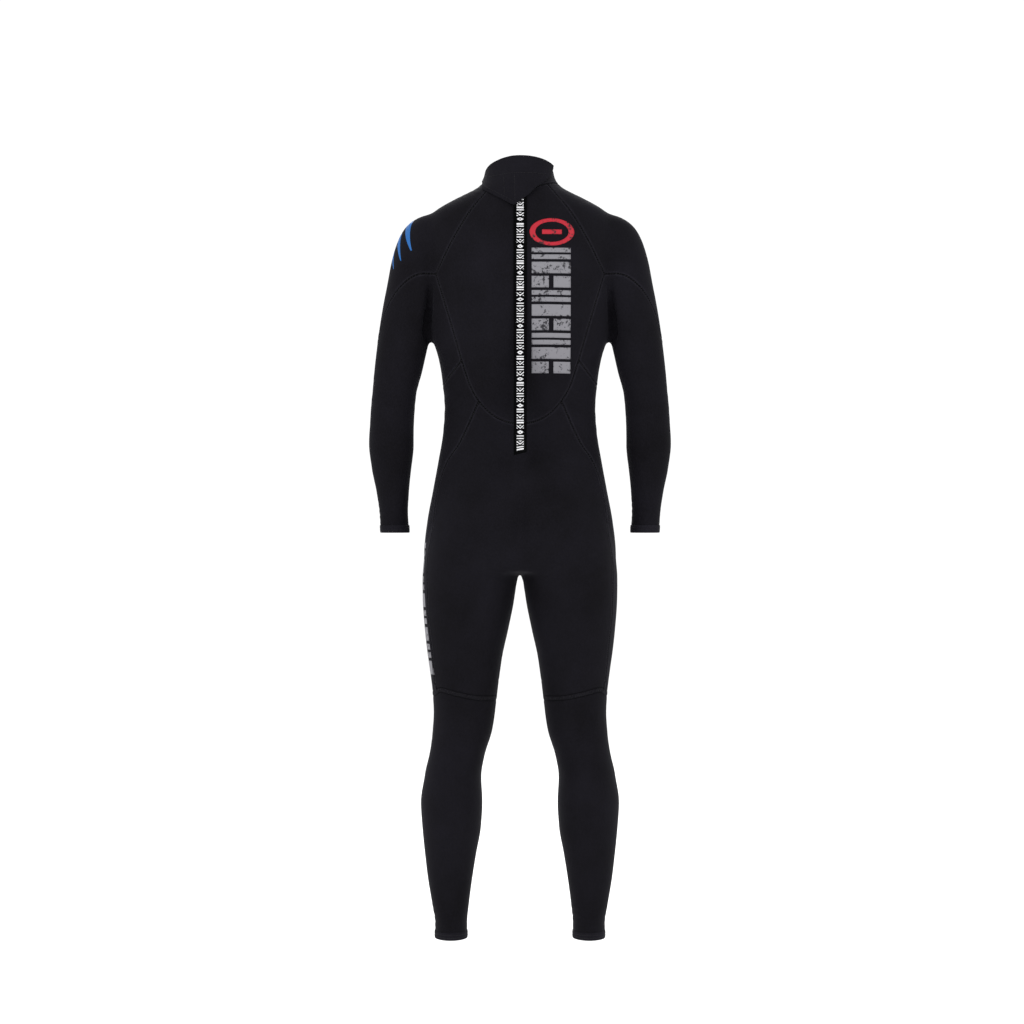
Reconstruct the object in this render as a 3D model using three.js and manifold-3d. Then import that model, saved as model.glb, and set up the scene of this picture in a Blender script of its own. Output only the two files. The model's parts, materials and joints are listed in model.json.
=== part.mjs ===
// A full-length back-zip wetsuit, hollow and in the shape of the wearer, who stands with both arms down.
// Millimetres. +Z is up, the chest faces -Y, the zip is on +Y and the wearer's left is +X.
// The origin is the middle of the neck hole, level with the collar's seam, where the suit is held up.
//
// The skin is a union of lofts (trunk, arms, legs) less the same lofts one neoprene thickness smaller.
// Thin blades then cut it along its seams, and each piece that falls free is one panel of the suit.
import * as THREE from "three";
import { mergeVertices } from "three/addons/utils/BufferGeometryUtils.js";
import Module from "manifold-3d";

const wasm = await Module();
wasm.setup();

// ---- Driving dimensions ----
const neoprene = 3; // thickness of every panel
const gap = 0.35; // between two panels along a seam, and between parts that touch
const wristZ = -672; // cut end of the sleeves
const ankleZ = -1465; // cut end of the legs
const hemHeight = 14; // folded tape round each wrist and ankle
const hemThickness = 1.2;
const collarTopBack = 54; // top edge of the collar, at the nape and at the throat
const collarTopFront = 10;
const collarReach = 65; // from the collar's middle to its nape and to its throat
const kneeSeamZ = -987;
const kneeZ = -1060; // the axis that each knee bends about
const kneeY = 4;
const kneeFold = 70; // length of leg below the knee's axis that creases
const elbowZ = -402;
const elbowY = 2;
const elbowFold = 54; // length of sleeve that creases on each side of the elbow's axis
const inseamY = 6; // where the front and back panels of a leg meet
const midThigh = 105; // the inseam's cut reaches this far from the middle
const crotchZ = -700; // and this high, under the crotch and clear of the seat
const midArmpit = 175; // between the flank and the sleeve

// The zip lies on one arc down the middle of the back.
const zipRadius = 640;
const zipCentreZ = -190;
const zipCentreY = 118 - zipRadius;
const zipTopZ = 26;
const zipBottomZ = -440;
const zipSlot = 7; // from the middle to the edge of the neoprene
const tapeHalfWidth = 18;
const tapeThickness = 1.2;
const rowGap = 0.65; // from the middle to each row of teeth
const rowWidth = 3.65;
const rowHeight = 2.8;
const stopLength = 5;
const sliderLength = 22;
const sliderPlate = 1.8;
const sliderHalfWidth = 6.3;
const sliderWeb = 0.3; // half the thickness of the web that runs between the rows
const sliderClearance = 0.55; // between the rows and each plate
const lugCap = 0.7; // the lugs stand this far past the puller's barrel
const lugLength = 4;
const lugWidth = 1.3;
const guardHalfWidth = 32;
const guardThickness = 2;
const guardDepth = 9; // the guard's outer face under the suit's skin

const pullerLength = 17;
const pullerHalfWidth = 3.2;
const pullerThickness = 1.6;
const barrelRadius = 1.1; // the puller turns between the slider's two lugs on this
const strapWidth = 25;
const strapThickness = 1.6;
const strapLift = 0.4; // the strap's inner face above the skin
const strapLength = 520;
const strapLiftZ = -50; // the strap lifts from here, just below the flap
const strapDrapeZ = -205; // and bends here when it drapes over the seat
const strapTabLength = 34;
const strapTabThickness = 1.4;

const patchThickness = 2; // each hook-and-loop patch
const flapLift = 3 * gap + 2 * patchThickness; // the flap's inner face above the collar
const flapThickness = 2.6;
const flapHingeX = 22;

// Flat sides round each part of the body.
const trunkSides = 24;
const legSides = 14;
const armSides = 12;

// ---- Body measurements: one row per height, as a tailor takes them ----
// z, x and y of the section's middle, half width, depth to the front and to the back, and how square it is.
const trunk = [
  [70, 0, -8, 63, 58, 70, 2.1],
  [50, 0, -5, 64, 59, 76, 2.1],
  [28, 0, -1, 67, 61, 81, 2.1],
  [10, 0, 3, 75, 66, 83, 2.1],
  [0, 0, 5, 87, 70, 84, 2.1],
  [-12, 0, 6, 111, 76, 87, 2.15],
  [-27, 0, 6, 141, 82, 91, 2.2],
  [-45, 0, 5, 170, 90, 96, 2.3],
  [-70, 0, 4, 186, 101, 102, 2.4],
  [-110, 0, 2, 188, 112, 111, 2.5],
  [-160, 0, 0, 185, 121, 117, 2.6],
  [-220, 0, 0, 180, 125, 117, 2.6],
  [-285, 0, 0, 173, 121, 111, 2.5],
  [-330, 0, 0, 160, 116, 102, 2.45],
  [-370, 0, 0, 153, 110, 92, 2.4],
  [-428, 0, 0, 148, 104, 73, 2.35],
  [-475, 0, -2, 151, 101, 67, 2.35],
  [-530, 0, -4, 160, 98, 82, 2.4],
  [-590, 0, -5, 171, 96, 108, 2.45],
  [-650, 0, -4, 182, 93, 129, 2.5],
  [-705, 0, -2, 188, 88, 127, 2.5],
  [-748, 0, 0, 189, 76, 105, 2.5],
];
const leg = [
  [-600, 92, 0, 76, 82, 90, 2.3],
  [-700, 97, 4, 88, 86, 116, 2.4],
  [-756, 98, 2, 93, 87, 104, 2.3],
  [-800, 101, 0, 90, 86, 93, 2.2],
  [-860, 105, 0, 82, 82, 83, 2.15],
  [-920, 108, 0, 72, 75, 73, 2.1],
  [-980, 108, 0, 64, 68, 63, 2.1],
  [-1021, 109, 0, 60, 63, 58, 2.1],
  [-1060, 113, 2, 58, 59, 57, 2.1],
  [-1110, 124, 6, 54, 54, 61, 2.1],
  [-1145, 131, 9, 55, 51, 67, 2.1],
  [-1200, 134, 12, 60, 50, 68, 2.1],
  [-1250, 134, 12, 57, 48, 61, 2.1],
  [-1300, 136, 10, 50, 43, 51, 2.05],
  [-1350, 137, 8, 43, 39, 44, 2],
  [-1404, 136, 8, 35, 37, 42, 2],
  [-1436, 135, 8, 31, 36, 42, 2],
  [-1465, 135, 8, 31, 37, 43, 2],
];
const arm = [
  [-50, 170, 4, 20, 24, 24, 2],
  [-62, 176, 4, 36, 38, 38, 2],
  [-80, 182, 4, 46, 47, 48, 2],
  [-110, 189, 5, 52, 54, 56, 2.05],
  [-155, 199, 6, 55, 57, 60, 2.1],
  [-205, 209, 6, 55, 57, 60, 2.1],
  [-255, 220, 6, 53, 54, 58, 2.1],
  [-305, 230, 6, 50, 51, 54, 2.05],
  [-357, 239, 5, 47, 47, 49, 2],
  [-404, 247, 4, 43, 45, 47, 2],
  [-452, 251, -1, 43, 46, 45, 2],
  [-499, 253, -7, 44, 44, 42, 2],
  [-546, 253, -15, 39, 39, 37, 2],
  [-593, 251, -23, 32, 34, 32, 2],
  [-640, 249, -29, 28, 31, 29, 2],
  [-672, 247, -33, 28, 31, 29, 2],
];
// The collar's seam is where this funnel, of the same kind of rows, passes through the skin.
const collarFunnel = [
  [102, 0, 0, 132, 178, 162, 2],
  [-62, 0, 0, 33, 81, 63, 2],
];

// ---- Seams, as points of x and z seen from behind, on the wearer's left ----
const armpitPoint = [163, -171]; // raglan seam, shoulder seam and back seam meet
const flankPoint = [113, -339];
const hipPoint = [80, -417]; // the side seam starts on the back panel's lower seam
const raglanSeam = [[40, 20], [65, -12], [91, -44], [111, -74], [134, -114], [147, -140], armpitPoint];
const backSeam = [armpitPoint, [152, -207], [132, -273], flankPoint];
const backLowerSeam = [flankPoint, [97, -387], hipPoint, [57, -441], [30, -456], [-1, -462]];
const shoulderSeam = [
  armpitPoint, [188, -170], [210, -177], [237, -200], [259, -235], [273, -276], [292, -340],
];
const flankSeam = [flankPoint, [147, -380], [187, -428]];
const chestLowerSeam = [flankPoint, [92, -354], [50, -368], [-1, -372]];
const sideSeam = [
  hipPoint, [115, -493], [141, -532], [156, -573], [164, -615], [170, -670], [179, -723],
  [180, -780], [178, -843], [171, -903], [166, -970], [164, -984],
];
const kneeSeam = [[26, -8], [47, -8], [84, -6], [124, 2], [155, 9], [168, 0], [200, -6]]
  .map(([x, rise]) => [x, kneeSeamZ + rise]);
// The flap's outline; it is sewn down beyond the hinge line and free on the wearer's right.
const flapOutline = [
  [72, 90], [72, -9], [12, -44], [-15, -23], [-29, -9], [-45, 2], [-54, 11], [-61, 25], [-66, 42], [-70, 90],
];
const patchOutline = [[-24, 42], [-24, 4], [-50, 14], [-54, 42]];

const sweep = 320; // further than any part of the suit lies from its middle line

// ---- Helpers ----

// A geometry's vertices merged into one closed manifold solid.
function solidOf(geometry) {
  const bare = geometry.clone();
  for (const name of Object.keys(bare.attributes)) {
    if (name !== "position") bare.deleteAttribute(name);
  }
  const merged = mergeVertices(bare, 1e-4);
  return new wasm.Manifold(
    new wasm.Mesh({
      numProp: 3,
      vertProperties: merged.attributes.position.array,
      triVerts: new Uint32Array(merged.index.array),
    }),
  );
}

function geometryOf(solid) {
  const mesh = solid.getMesh();
  const geometry = new THREE.BufferGeometry();
  geometry.setAttribute("position", new THREE.BufferAttribute(mesh.vertProperties, 3));
  geometry.setIndex(new THREE.BufferAttribute(mesh.triVerts, 1));
  const flat = geometry.toNonIndexed();
  flat.computeVertexNormals();
  return flat;
}

const union = (solids) => solids.reduce((all, one) => all.add(one));
const without = (solid, cutters) => cutters.reduce((left, one) => left.subtract(one), solid);

function box(x0, x1, y0, y1, z0, z1) {
  const shape = new THREE.BoxGeometry(x1 - x0, y1 - y0, z1 - z0);
  return solidOf(shape.translate((x0 + x1) / 2, (y0 + y1) / 2, (z0 + z1) / 2));
}

// One measurement row at any height: a cubic through the rows that doesn't overshoot them.
function sectionAt(rows, z) {
  const after = rows.findIndex((row) => row[0] <= z);
  if (after <= 0) return after === 0 ? [...rows[0]] : [...rows.at(-1)];
  const slope = (i, k) => (rows[i][k] - rows[i - 1][k]) / (rows[i][0] - rows[i - 1][0]);
  const tangent = (i, k) => {
    if (i === 0) return slope(1, k);
    if (i === rows.length - 1) return slope(i, k);
    const [before, next] = [slope(i, k), slope(i + 1, k)];
    return before * next <= 0 ? 0 : (2 * before * next) / (before + next);
  };
  const [a, b] = [rows[after - 1], rows[after]];
  const span = b[0] - a[0];
  const t = (z - a[0]) / span;
  return a.map((_, k) =>
    k === 0
      ? z
      : (2 * t ** 3 - 3 * t ** 2 + 1) * a[k] +
        (t ** 3 - 2 * t ** 2 + t) * span * tangent(after - 1, k) +
        (3 * t ** 2 - 2 * t ** 3) * b[k] +
        (t ** 3 - t ** 2) * span * tangent(after, k),
  );
}

// The back of the trunk follows the zip's arc from the neck to just below the zip.
const zipRunOut = 15;
const onZipArc = (z) => zipCentreY + Math.sqrt(zipRadius ** 2 - (z - zipCentreZ) ** 2);

// A closed solid through horizontal rings, grown or shrunk by `grow`, from its top to its bottom height.
function loft(rows, { sides, grow = 0, top = rows[0][0], bottom = rows.at(-1)[0], zip = false }) {
  const heights = rows.map((row) => row[0]).filter((z) => z < top - 1 && z > bottom + 1);
  const levels = [top, ...heights, bottom];
  const points = [];
  for (const z of levels) {
    const [, x, y, width, front, back, square] = sectionAt(rows, z);
    const deep = zip && z >= zipBottomZ - zipRunOut ? onZipArc(z) - y : back;
    for (let i = 0; i < sides; i++) {
      const turn = (2 * Math.PI * i) / sides;
      const [c, s] = [Math.cos(turn), Math.sin(turn)];
      const round = (v) => Math.sign(v) * Math.abs(v) ** (2 / square);
      points.push(x + (width + grow) * round(c), y + ((s > 0 ? deep : front) + grow) * round(s), z);
    }
  }
  const ring = (k) => k * sides;
  const faces = [];
  for (let k = 0; k + 1 < levels.length; k++) {
    for (let i = 0; i < sides; i++) {
      const j = (i + 1) % sides;
      const [a, b, c, d] = [ring(k) + i, ring(k) + j, ring(k + 1) + i, ring(k + 1) + j];
      faces.push(a, c, b, b, c, d);
    }
  }
  const last = ring(levels.length - 1);
  for (let i = 1; i + 1 < sides; i++) {
    faces.push(0, i, i + 1, last, last + i + 1, last + i);
  }
  const geometry = new THREE.BufferGeometry();
  geometry.setAttribute("position", new THREE.BufferAttribute(new Float32Array(points), 3));
  geometry.setIndex(faces);
  return solidOf(geometry);
}

const mirrored = (rows) => rows.map(([z, x, ...rest]) => [z, -x, ...rest]);
const flip = (points) => points.map(([x, z]) => [-x, z]);

// Both sides of the trunk and limbs as one solid; `open` lengthens it past every opening.
function bodyForm(grow, open = 0) {
  const limbs = [arm, mirrored(arm)].map((rows) =>
    loft(rows, { sides: armSides, grow, top: rows[0][0] + grow, bottom: wristZ - open }),
  );
  const legs = [leg, mirrored(leg)].map((rows) =>
    loft(rows, { sides: legSides, grow, bottom: ankleZ - open }),
  );
  const torso = loft(trunk, { sides: trunkSides, grow, bottom: trunk.at(-1)[0] - grow, zip: true });
  return union([torso, ...legs, ...limbs]);
}

// A thin blade along a seam: its line of x and z points, swept along Y from y0 to y1.
function blade(points, y0, y1, thickness = gap) {
  const side = (k) => {
    const [before, next] = [points[Math.max(k - 1, 0)], points[Math.min(k + 1, points.length - 1)]];
    const along = new THREE.Vector2(next[0] - before[0], next[1] - before[1]).normalize();
    return new THREE.Vector2(-along.y, along.x).multiplyScalar(thickness / 2);
  };
  const edge = (sign) =>
    points.map(([x, z], k) => new THREE.Vector2(x, z).addScaledVector(side(k), sign));
  const shape = new THREE.Shape([...edge(1), ...edge(-1).reverse()]);
  const geometry = new THREE.ExtrudeGeometry(shape, { depth: y1 - y0, bevelEnabled: false });
  return solidOf(geometry.rotateX(Math.PI / 2).translate(0, y1, 0));
}

const bothSides = (points, y0, y1) => [blade(points, y0, y1), blade(flip(points), y0, y1)];
const level = (z, x0, x1) => box(x0, x1, -sweep, sweep, z - gap / 2, z + gap / 2);

// A bar bent round the zip's arc, `inner` and `outer` being heights over the skin, from one height to another.
const zipAngle = (z) => Math.asin((z - zipCentreZ) / zipRadius);
function zipBar(x0, x1, inner, outer, zTop, zBottom, segments = 14) {
  const [high, low] = [zipAngle(zTop), zipAngle(zBottom)];
  const shape = new THREE.Shape();
  shape.absarc(zipCentreY, zipCentreZ, zipRadius + outer, low, high, false);
  shape.absarc(zipCentreY, zipCentreZ, zipRadius + inner, high, low, true);
  shape.closePath();
  const geometry = new THREE.ExtrudeGeometry(shape, {
    depth: x1 - x0, bevelEnabled: false, curveSegments: segments,
  });
  return solidOf(geometry.rotateY(Math.PI / 2).rotateX(Math.PI / 2).translate(x0, 0, 0));
}
const zipPoint = (z, over) => {
  const angle = zipAngle(z);
  return [zipCentreY + (zipRadius + over) * Math.cos(angle), zipCentreZ + (zipRadius + over) * Math.sin(angle)];
};

// ---- The skin, cut into panels ----

const skin = bodyForm(0).subtract(bodyForm(-neoprene, sweep));

// Everything above the collar's top edge, a plane that slopes down to the throat.
function aboveCollar() {
  const tilt = Math.atan2(collarTopBack - collarTopFront, 2 * collarReach);
  const block = new THREE.BoxGeometry(sweep, sweep, sweep).translate(0, 0, sweep / 2);
  return solidOf(block.rotateX(tilt).translate(0, collarReach, collarTopBack));
}
const funnel = (grow) => loft(collarFunnel, { sides: 24, grow });
const slot = box(-zipSlot, zipSlot, 0, sweep, zipBottomZ, sweep);
const collar = without(skin.intersect(funnel(-gap / 2)), [aboveCollar(), slot]);

const backTipZ = backLowerSeam.at(-1)[1] - gap; // the back panels meet below the zip, down to their tips
const seams = [
  funnel(gap / 2),
  ...bothSides(raglanSeam, -sweep, sweep),
  ...bothSides(backSeam, -sweep, sweep),
  ...bothSides(shoulderSeam, -sweep, sweep),
  ...bothSides(flankSeam, -sweep, sweep),
  ...bothSides(backLowerSeam, 0, sweep),
  ...bothSides(chestLowerSeam, -sweep, 0),
  ...bothSides(sideSeam, 0, sweep),
  ...bothSides(kneeSeam, -sweep, sweep),
  slot,
  box(-gap / 2, gap / 2, 0, sweep, backTipZ, zipBottomZ + gap),
  box(-midThigh, midThigh, inseamY - gap / 2, inseamY + gap / 2, kneeSeamZ - 20, crotchZ),
];
const panels = without(skin, seams).decompose();

// The panel that a needle along Y, at the given x and z, passes through; it points the way y1 says.
function panelAt(pieces, x, z, y1) {
  const needle = box(x - 1, x + 1, Math.min(0, y1), Math.max(0, y1), z - 1, z + 1);
  const hits = pieces.map((piece) => piece.intersect(needle).volume());
  return pieces[hits.indexOf(Math.max(...hits))];
}

const parts = {};
const back = (x, z) => panelAt(panels, x, z, sweep);
const front = (x, z) => panelAt(panels, x, z, -sweep);
const halfLeg = (solid, side) =>
  side === "front"
    ? solid.subtract(box(-sweep, sweep, inseamY - gap / 2, sweep, ankleZ - 1, 0))
    : solid.subtract(box(-sweep, sweep, -sweep, inseamY + gap / 2, ankleZ - 1, 0));

parts.collar = collar;
parts.chest_panel = front(0, -200);
parts.front_panel = front(0, -500);
parts.seat_panel = back(0, -600);

const midForearm = (elbowZ - elbowFold + wristZ) / 2;
const midShank = (kneeZ - kneeFold + ankleZ) / 2;
for (const [side, s] of [["left", 1], ["right", -1]]) {
  parts[`back_panel_${side}`] = back(60 * s, -250);
  parts[`shoulder_panel_${side}`] = back(200 * s, -110);

  // The sleeve, with the patch of flank that it is cut in one with, then the elbow and the forearm.
  const [armX0, armX1] = s > 0 ? [midArmpit, sweep] : [-sweep, -midArmpit];
  const cuts = [elbowZ + elbowFold, elbowZ - elbowFold].map((z) => level(z, armX0, armX1));
  const sleeve = without(back(230 * s, -320), cuts).decompose();
  parts[`sleeve_${side}`] = panelAt(sleeve, 230 * s, -320, sweep);
  parts[`elbow_panel_${side}`] = panelAt(sleeve, 247 * s, elbowZ, sweep);
  parts[`forearm_panel_${side}`] = panelAt(sleeve, 251 * s, midForearm, sweep);

  // The leg below the knee's seam: the knee and the shin in front, the knee's hollow and the calf behind.
  const lower = without(back(133 * s, midShank), [level(kneeZ - kneeFold, -sweep, sweep)]).decompose();
  const knee = panelAt(lower, 115 * s, kneeZ, sweep);
  const shank = panelAt(lower, 133 * s, midShank, sweep);
  parts[`knee_pad_${side}`] = halfLeg(knee, "front");
  parts[`knee_hollow_${side}`] = halfLeg(knee, "back");
  parts[`shin_panel_${side}`] = halfLeg(shank, "front");
  parts[`calf_panel_${side}`] = halfLeg(shank, "back");
}

// A band of folded tape round the cut end of a sleeve or leg.
function hem(rows, endZ, sides) {
  const ring = (grow, top, bottom) => loft(rows, { sides, grow, top, bottom });
  const band = ring(gap + hemThickness, endZ + hemHeight, endZ);
  return band.subtract(ring(gap, endZ + hemHeight + 1, endZ - 1));
}
for (const [side, turn] of [["left", (rows) => rows], ["right", mirrored]]) {
  parts[`wrist_hem_${side}`] = hem(turn(arm), wristZ, armSides);
  parts[`ankle_hem_${side}`] = hem(turn(leg), ankleZ, legSides);
}

// ---- The zip ----

// A layer that follows the back at a depth: from `inner` to `outer` over the skin, between two widths.
const backForm = (grow) => loft(trunk, { sides: trunkSides, grow, zip: true });
function layer(inner, outerGrow, x0, x1, zTop, zBottom) {
  return backForm(outerGrow).subtract(backForm(inner)).intersect(box(x0, x1, 0, sweep, zBottom, zTop));
}
const mirrorX = (solid) => solid.mirror([1, 0, 0]);

const tapeTop = -neoprene - gap;
const rowMiddle = tapeTop - tapeThickness / 2; // the teeth stand out on both faces of the tape
const tapeInner = rowGap + rowWidth + gap;
const tape = (x0, x1) => layer(tapeTop - tapeThickness, tapeTop, x0, x1, zipTopZ, zipBottomZ);
const rowTop = rowMiddle + rowHeight / 2;
const rowBottom = rowMiddle - rowHeight / 2;
const row = zipBar(rowGap, rowGap + rowWidth, rowBottom, rowTop, zipTopZ - stopLength, zipBottomZ + stopLength, 16);
parts.zip_tape_left = tape(tapeInner, tapeHalfWidth);
parts.zip_tape_right = tape(-tapeHalfWidth, -tapeInner);
parts.zip_teeth_left = row;
parts.zip_teeth_right = mirrorX(row);

const stopHalfWidth = rowGap + rowWidth;
const stopAt = (z) =>
  zipBar(-stopHalfWidth, stopHalfWidth, rowBottom, rowTop, z, z - stopLength + gap, 2);
parts.zip_top_stop = stopAt(zipTopZ);
parts.zip_bottom_stop = stopAt(zipBottomZ + stopLength - gap);

// The slider stands just under the top stop. It has a plate over the rows and one under, and a web between.
const sliderTop = zipTopZ - stopLength - 2;
const sliderFoot = sliderTop - sliderLength;
const lugZ = sliderTop - 5; // the puller's pivot
const plateOver = rowTop + sliderClearance;
const plateUnder = rowBottom - sliderClearance;
const strapMiddle = strapLift + strapThickness / 2;
const lugTop = strapMiddle + barrelRadius + lugCap;
const lug = zipBar(
  pullerHalfWidth + gap, pullerHalfWidth + gap + lugWidth, plateOver, lugTop,
  lugZ + lugLength / 2, lugZ - lugLength / 2, 2,
);
parts.zip_slider = union([
  zipBar(-sliderHalfWidth, sliderHalfWidth, plateOver, plateOver + sliderPlate, sliderTop, sliderFoot, 3),
  zipBar(-sliderHalfWidth, sliderHalfWidth, plateUnder - sliderPlate, plateUnder, sliderTop, sliderFoot, 3),
  zipBar(
    -sliderWeb, sliderWeb, plateUnder - sliderPlate / 2, plateOver + sliderPlate / 2,
    sliderTop - sliderLength / 3, sliderFoot + sliderLength / 3, 1,
  ),
  lug,
  mirrorX(lug),
]);

const [lugY, lugPivotZ] = zipPoint(lugZ, strapMiddle);
const pullerEnd = lugZ - pullerLength;
const barrel = new THREE.CylinderGeometry(barrelRadius, barrelRadius, 2 * pullerHalfWidth, 12).rotateZ(Math.PI / 2);
parts.zip_puller = solidOf(barrel.translate(0, lugY, lugPivotZ)).add(
  zipBar(
    -pullerHalfWidth, pullerHalfWidth, strapLift, strapLift + pullerThickness, lugZ, pullerEnd, 2,
  ),
);

// The guard lies inside, behind the teeth, and is sewn to the left back panel along its thick edge.
const guardTop = zipTopZ - 10;
const guardSewnTop = zipTopZ - 26; // above this the collar curves too close for the thick edge
const guardBottom = zipBottomZ - 6;
const guardOverlap = 0.1; // the edge and the guard are one piece
parts.zip_guard = layer(
  -guardDepth - guardThickness, -guardDepth, -guardHalfWidth, guardHalfWidth, guardTop, guardBottom,
).add(
  layer(
    -guardDepth - guardOverlap, -neoprene - gap, tapeHalfWidth + 4, guardHalfWidth, guardSewnTop, guardBottom,
  ),
);

// ---- The pull strap: webbing that follows the back to its fullest point, then hangs straight down ----
const strapHalf = strapWidth / 2;
const strapTopZ = pullerEnd - gap;
const plumbZ = zipCentreZ; // below this height the back falls away from the strap
const arcLength = (zipAngle(strapTopZ) - zipAngle(plumbZ)) * (zipRadius + strapMiddle);
const strapBottomZ = plumbZ - (strapLength - arcLength);
const strapBar = (zTop, zBottom, segments) =>
  zipBar(-strapHalf, strapHalf, strapLift, strapLift + strapThickness, zTop, zBottom, segments);
const plumbY = zipCentreY + zipRadius + strapLift;
const plumbBar = (y0, y1, zTop, zBottom, half = strapHalf) => box(-half, half, y0, y1, zBottom, zTop);

parts.strap_top = strapBar(strapTopZ, strapLiftZ + gap / 2, 3);
parts.strap_upper = strapBar(strapLiftZ - gap / 2, plumbZ, 9).add(
  plumbBar(plumbY, plumbY + strapThickness, plumbZ + 0.5, strapDrapeZ + gap / 2),
);
parts.strap_lower = plumbBar(plumbY, plumbY + strapThickness, strapDrapeZ - gap / 2, strapBottomZ);
parts.strap_tab = plumbBar(
  plumbY - gap - strapTabThickness, plumbY - gap, strapBottomZ + 4 + strapTabLength, strapBottomZ + 4,
  strapHalf - 2,
);

// ---- The collar's flap ----
function collarLayer(inner, outerGrow, outline) {
  const behind = new THREE.Shape(outline.map(([x, z]) => new THREE.Vector2(x, z)));
  const column = new THREE.ExtrudeGeometry(behind, { depth: sweep, bevelEnabled: false });
  const reach = solidOf(column.rotateX(Math.PI / 2).translate(0, sweep, 0));
  return without(backForm(outerGrow).subtract(backForm(inner)).intersect(reach), [aboveCollar()]);
}
const flapTop = flapLift + flapThickness;
const flapStack = collarLayer(gap, flapTop, flapOutline);
const sewn = box(flapHingeX + gap / 2, sweep, 0, sweep, -sweep, sweep);
const free = box(-sweep, flapHingeX - gap / 2, 0, sweep, -sweep, sweep);
parts.flap_base = flapStack.intersect(sewn);
parts.collar_flap = collarLayer(flapLift, flapTop, flapOutline).intersect(free);
parts.flap_loop_patch = collarLayer(gap, gap + patchThickness, patchOutline);
parts.flap_hook_patch = collarLayer(
  2 * gap + patchThickness, 2 * gap + 2 * patchThickness, patchOutline,
);

// ---- Materials and the assembly ----
const finishes = {
  neoprene: { color: 0x1d1c21, roughness: 0.85, metalness: 0 },
  hem: { color: 0x17161a, roughness: 0.8, metalness: 0 },
  webbing: { color: 0x0b0b0c, roughness: 0.7, metalness: 0 },
  tape: { color: 0x111113, roughness: 0.8, metalness: 0 },
  zip: { color: 0x18181a, roughness: 0.45, metalness: 0 },
  metal: { color: 0x8d8f92, roughness: 0.35, metalness: 0.9 },
  hookAndLoop: { color: 0x0e0e10, roughness: 0.95, metalness: 0 },
};
const finishOf = (name) => {
  if (/hem/.test(name)) return finishes.hem;
  if (/^strap/.test(name)) return finishes.webbing;
  if (/patch/.test(name)) return finishes.hookAndLoop;
  if (/tape/.test(name)) return finishes.tape;
  if (/teeth|stop/.test(name)) return finishes.zip;
  if (/slider|puller/.test(name)) return finishes.metal;
  return finishes.neoprene;
};

const suit = new THREE.Group();
for (const [name, solid] of Object.entries(parts)) {
  const mesh = new THREE.Mesh(geometryOf(solid), new THREE.MeshStandardMaterial(finishOf(name)));
  mesh.name = name;
  suit.add(mesh);
}

export default suit;
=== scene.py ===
import json
import math

import bmesh
import bpy
import numpy as np
from mathutils import Matrix, Vector
from mathutils.bvhtree import BVHTree
from mathutils.kdtree import KDTree

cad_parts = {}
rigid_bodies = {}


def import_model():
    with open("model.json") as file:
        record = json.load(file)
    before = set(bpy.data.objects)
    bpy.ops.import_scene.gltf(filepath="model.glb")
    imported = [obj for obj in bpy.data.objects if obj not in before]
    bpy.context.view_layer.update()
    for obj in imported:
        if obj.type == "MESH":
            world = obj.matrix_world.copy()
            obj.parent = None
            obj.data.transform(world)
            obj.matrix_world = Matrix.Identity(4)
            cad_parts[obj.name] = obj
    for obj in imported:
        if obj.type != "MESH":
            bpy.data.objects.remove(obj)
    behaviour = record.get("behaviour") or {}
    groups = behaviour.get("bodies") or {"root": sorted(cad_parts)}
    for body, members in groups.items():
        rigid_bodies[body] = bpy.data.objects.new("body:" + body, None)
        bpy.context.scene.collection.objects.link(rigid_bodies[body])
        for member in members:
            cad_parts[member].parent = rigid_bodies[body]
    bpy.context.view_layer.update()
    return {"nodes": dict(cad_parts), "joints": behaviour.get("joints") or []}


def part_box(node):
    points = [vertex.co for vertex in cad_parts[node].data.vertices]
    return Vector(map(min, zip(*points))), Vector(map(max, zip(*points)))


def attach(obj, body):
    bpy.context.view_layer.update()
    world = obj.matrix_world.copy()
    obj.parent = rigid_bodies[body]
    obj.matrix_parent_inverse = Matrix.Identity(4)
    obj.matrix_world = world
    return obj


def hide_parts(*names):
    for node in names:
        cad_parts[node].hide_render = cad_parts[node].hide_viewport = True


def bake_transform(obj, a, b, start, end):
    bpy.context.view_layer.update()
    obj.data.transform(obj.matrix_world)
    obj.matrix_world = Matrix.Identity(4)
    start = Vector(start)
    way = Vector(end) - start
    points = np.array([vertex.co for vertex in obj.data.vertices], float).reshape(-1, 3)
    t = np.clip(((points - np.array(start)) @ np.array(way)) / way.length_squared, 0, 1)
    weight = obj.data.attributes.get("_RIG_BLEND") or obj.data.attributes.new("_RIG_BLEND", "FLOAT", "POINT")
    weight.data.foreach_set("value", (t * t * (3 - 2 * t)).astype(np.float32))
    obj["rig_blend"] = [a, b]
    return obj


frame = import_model()

# A full-length back-zip wetsuit, filled out by a wearer who isn't there.
# Metres. +Z is up, the chest faces -Y, the zip is on +Y and the wearer's left is +X.
MM = 0.001

# ---- Sizes ----
wrist_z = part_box("wrist_hem_left")[0].z
ankle_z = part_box("ankle_hem_left")[0].z
zip_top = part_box("zip_tape_left")[1].z
zip_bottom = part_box("zip_tape_left")[0].z
strap_top_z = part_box("strap_top")[1].z
strap_end_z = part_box("strap_lower")[0].z
strap_y = sum(c.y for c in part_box("strap_lower")) / 2
strap_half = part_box("strap_lower")[1].x
knee_fold_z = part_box("shin_panel_left")[1].z
joint_at = {j["name"]: Vector(j["pos_m"]) for j in frame["joints"]}
neoprene = 3 * MM
hem_sides = 72
flap_thick = 2.5 * MM
webbing_thick = 1.5 * MM
stitch_thick = 0.5 * MM
zip_radius = 640 * MM
zip_centre = joint_at["zip_travel"]
slot_half = 7 * MM
knee_seam_z = -987 * MM
inseam_y = 6 * MM
collar_reach = 65 * MM
collar_back = 54 * MM
collar_front = 10 * MM
voxel = 4 * MM

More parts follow.
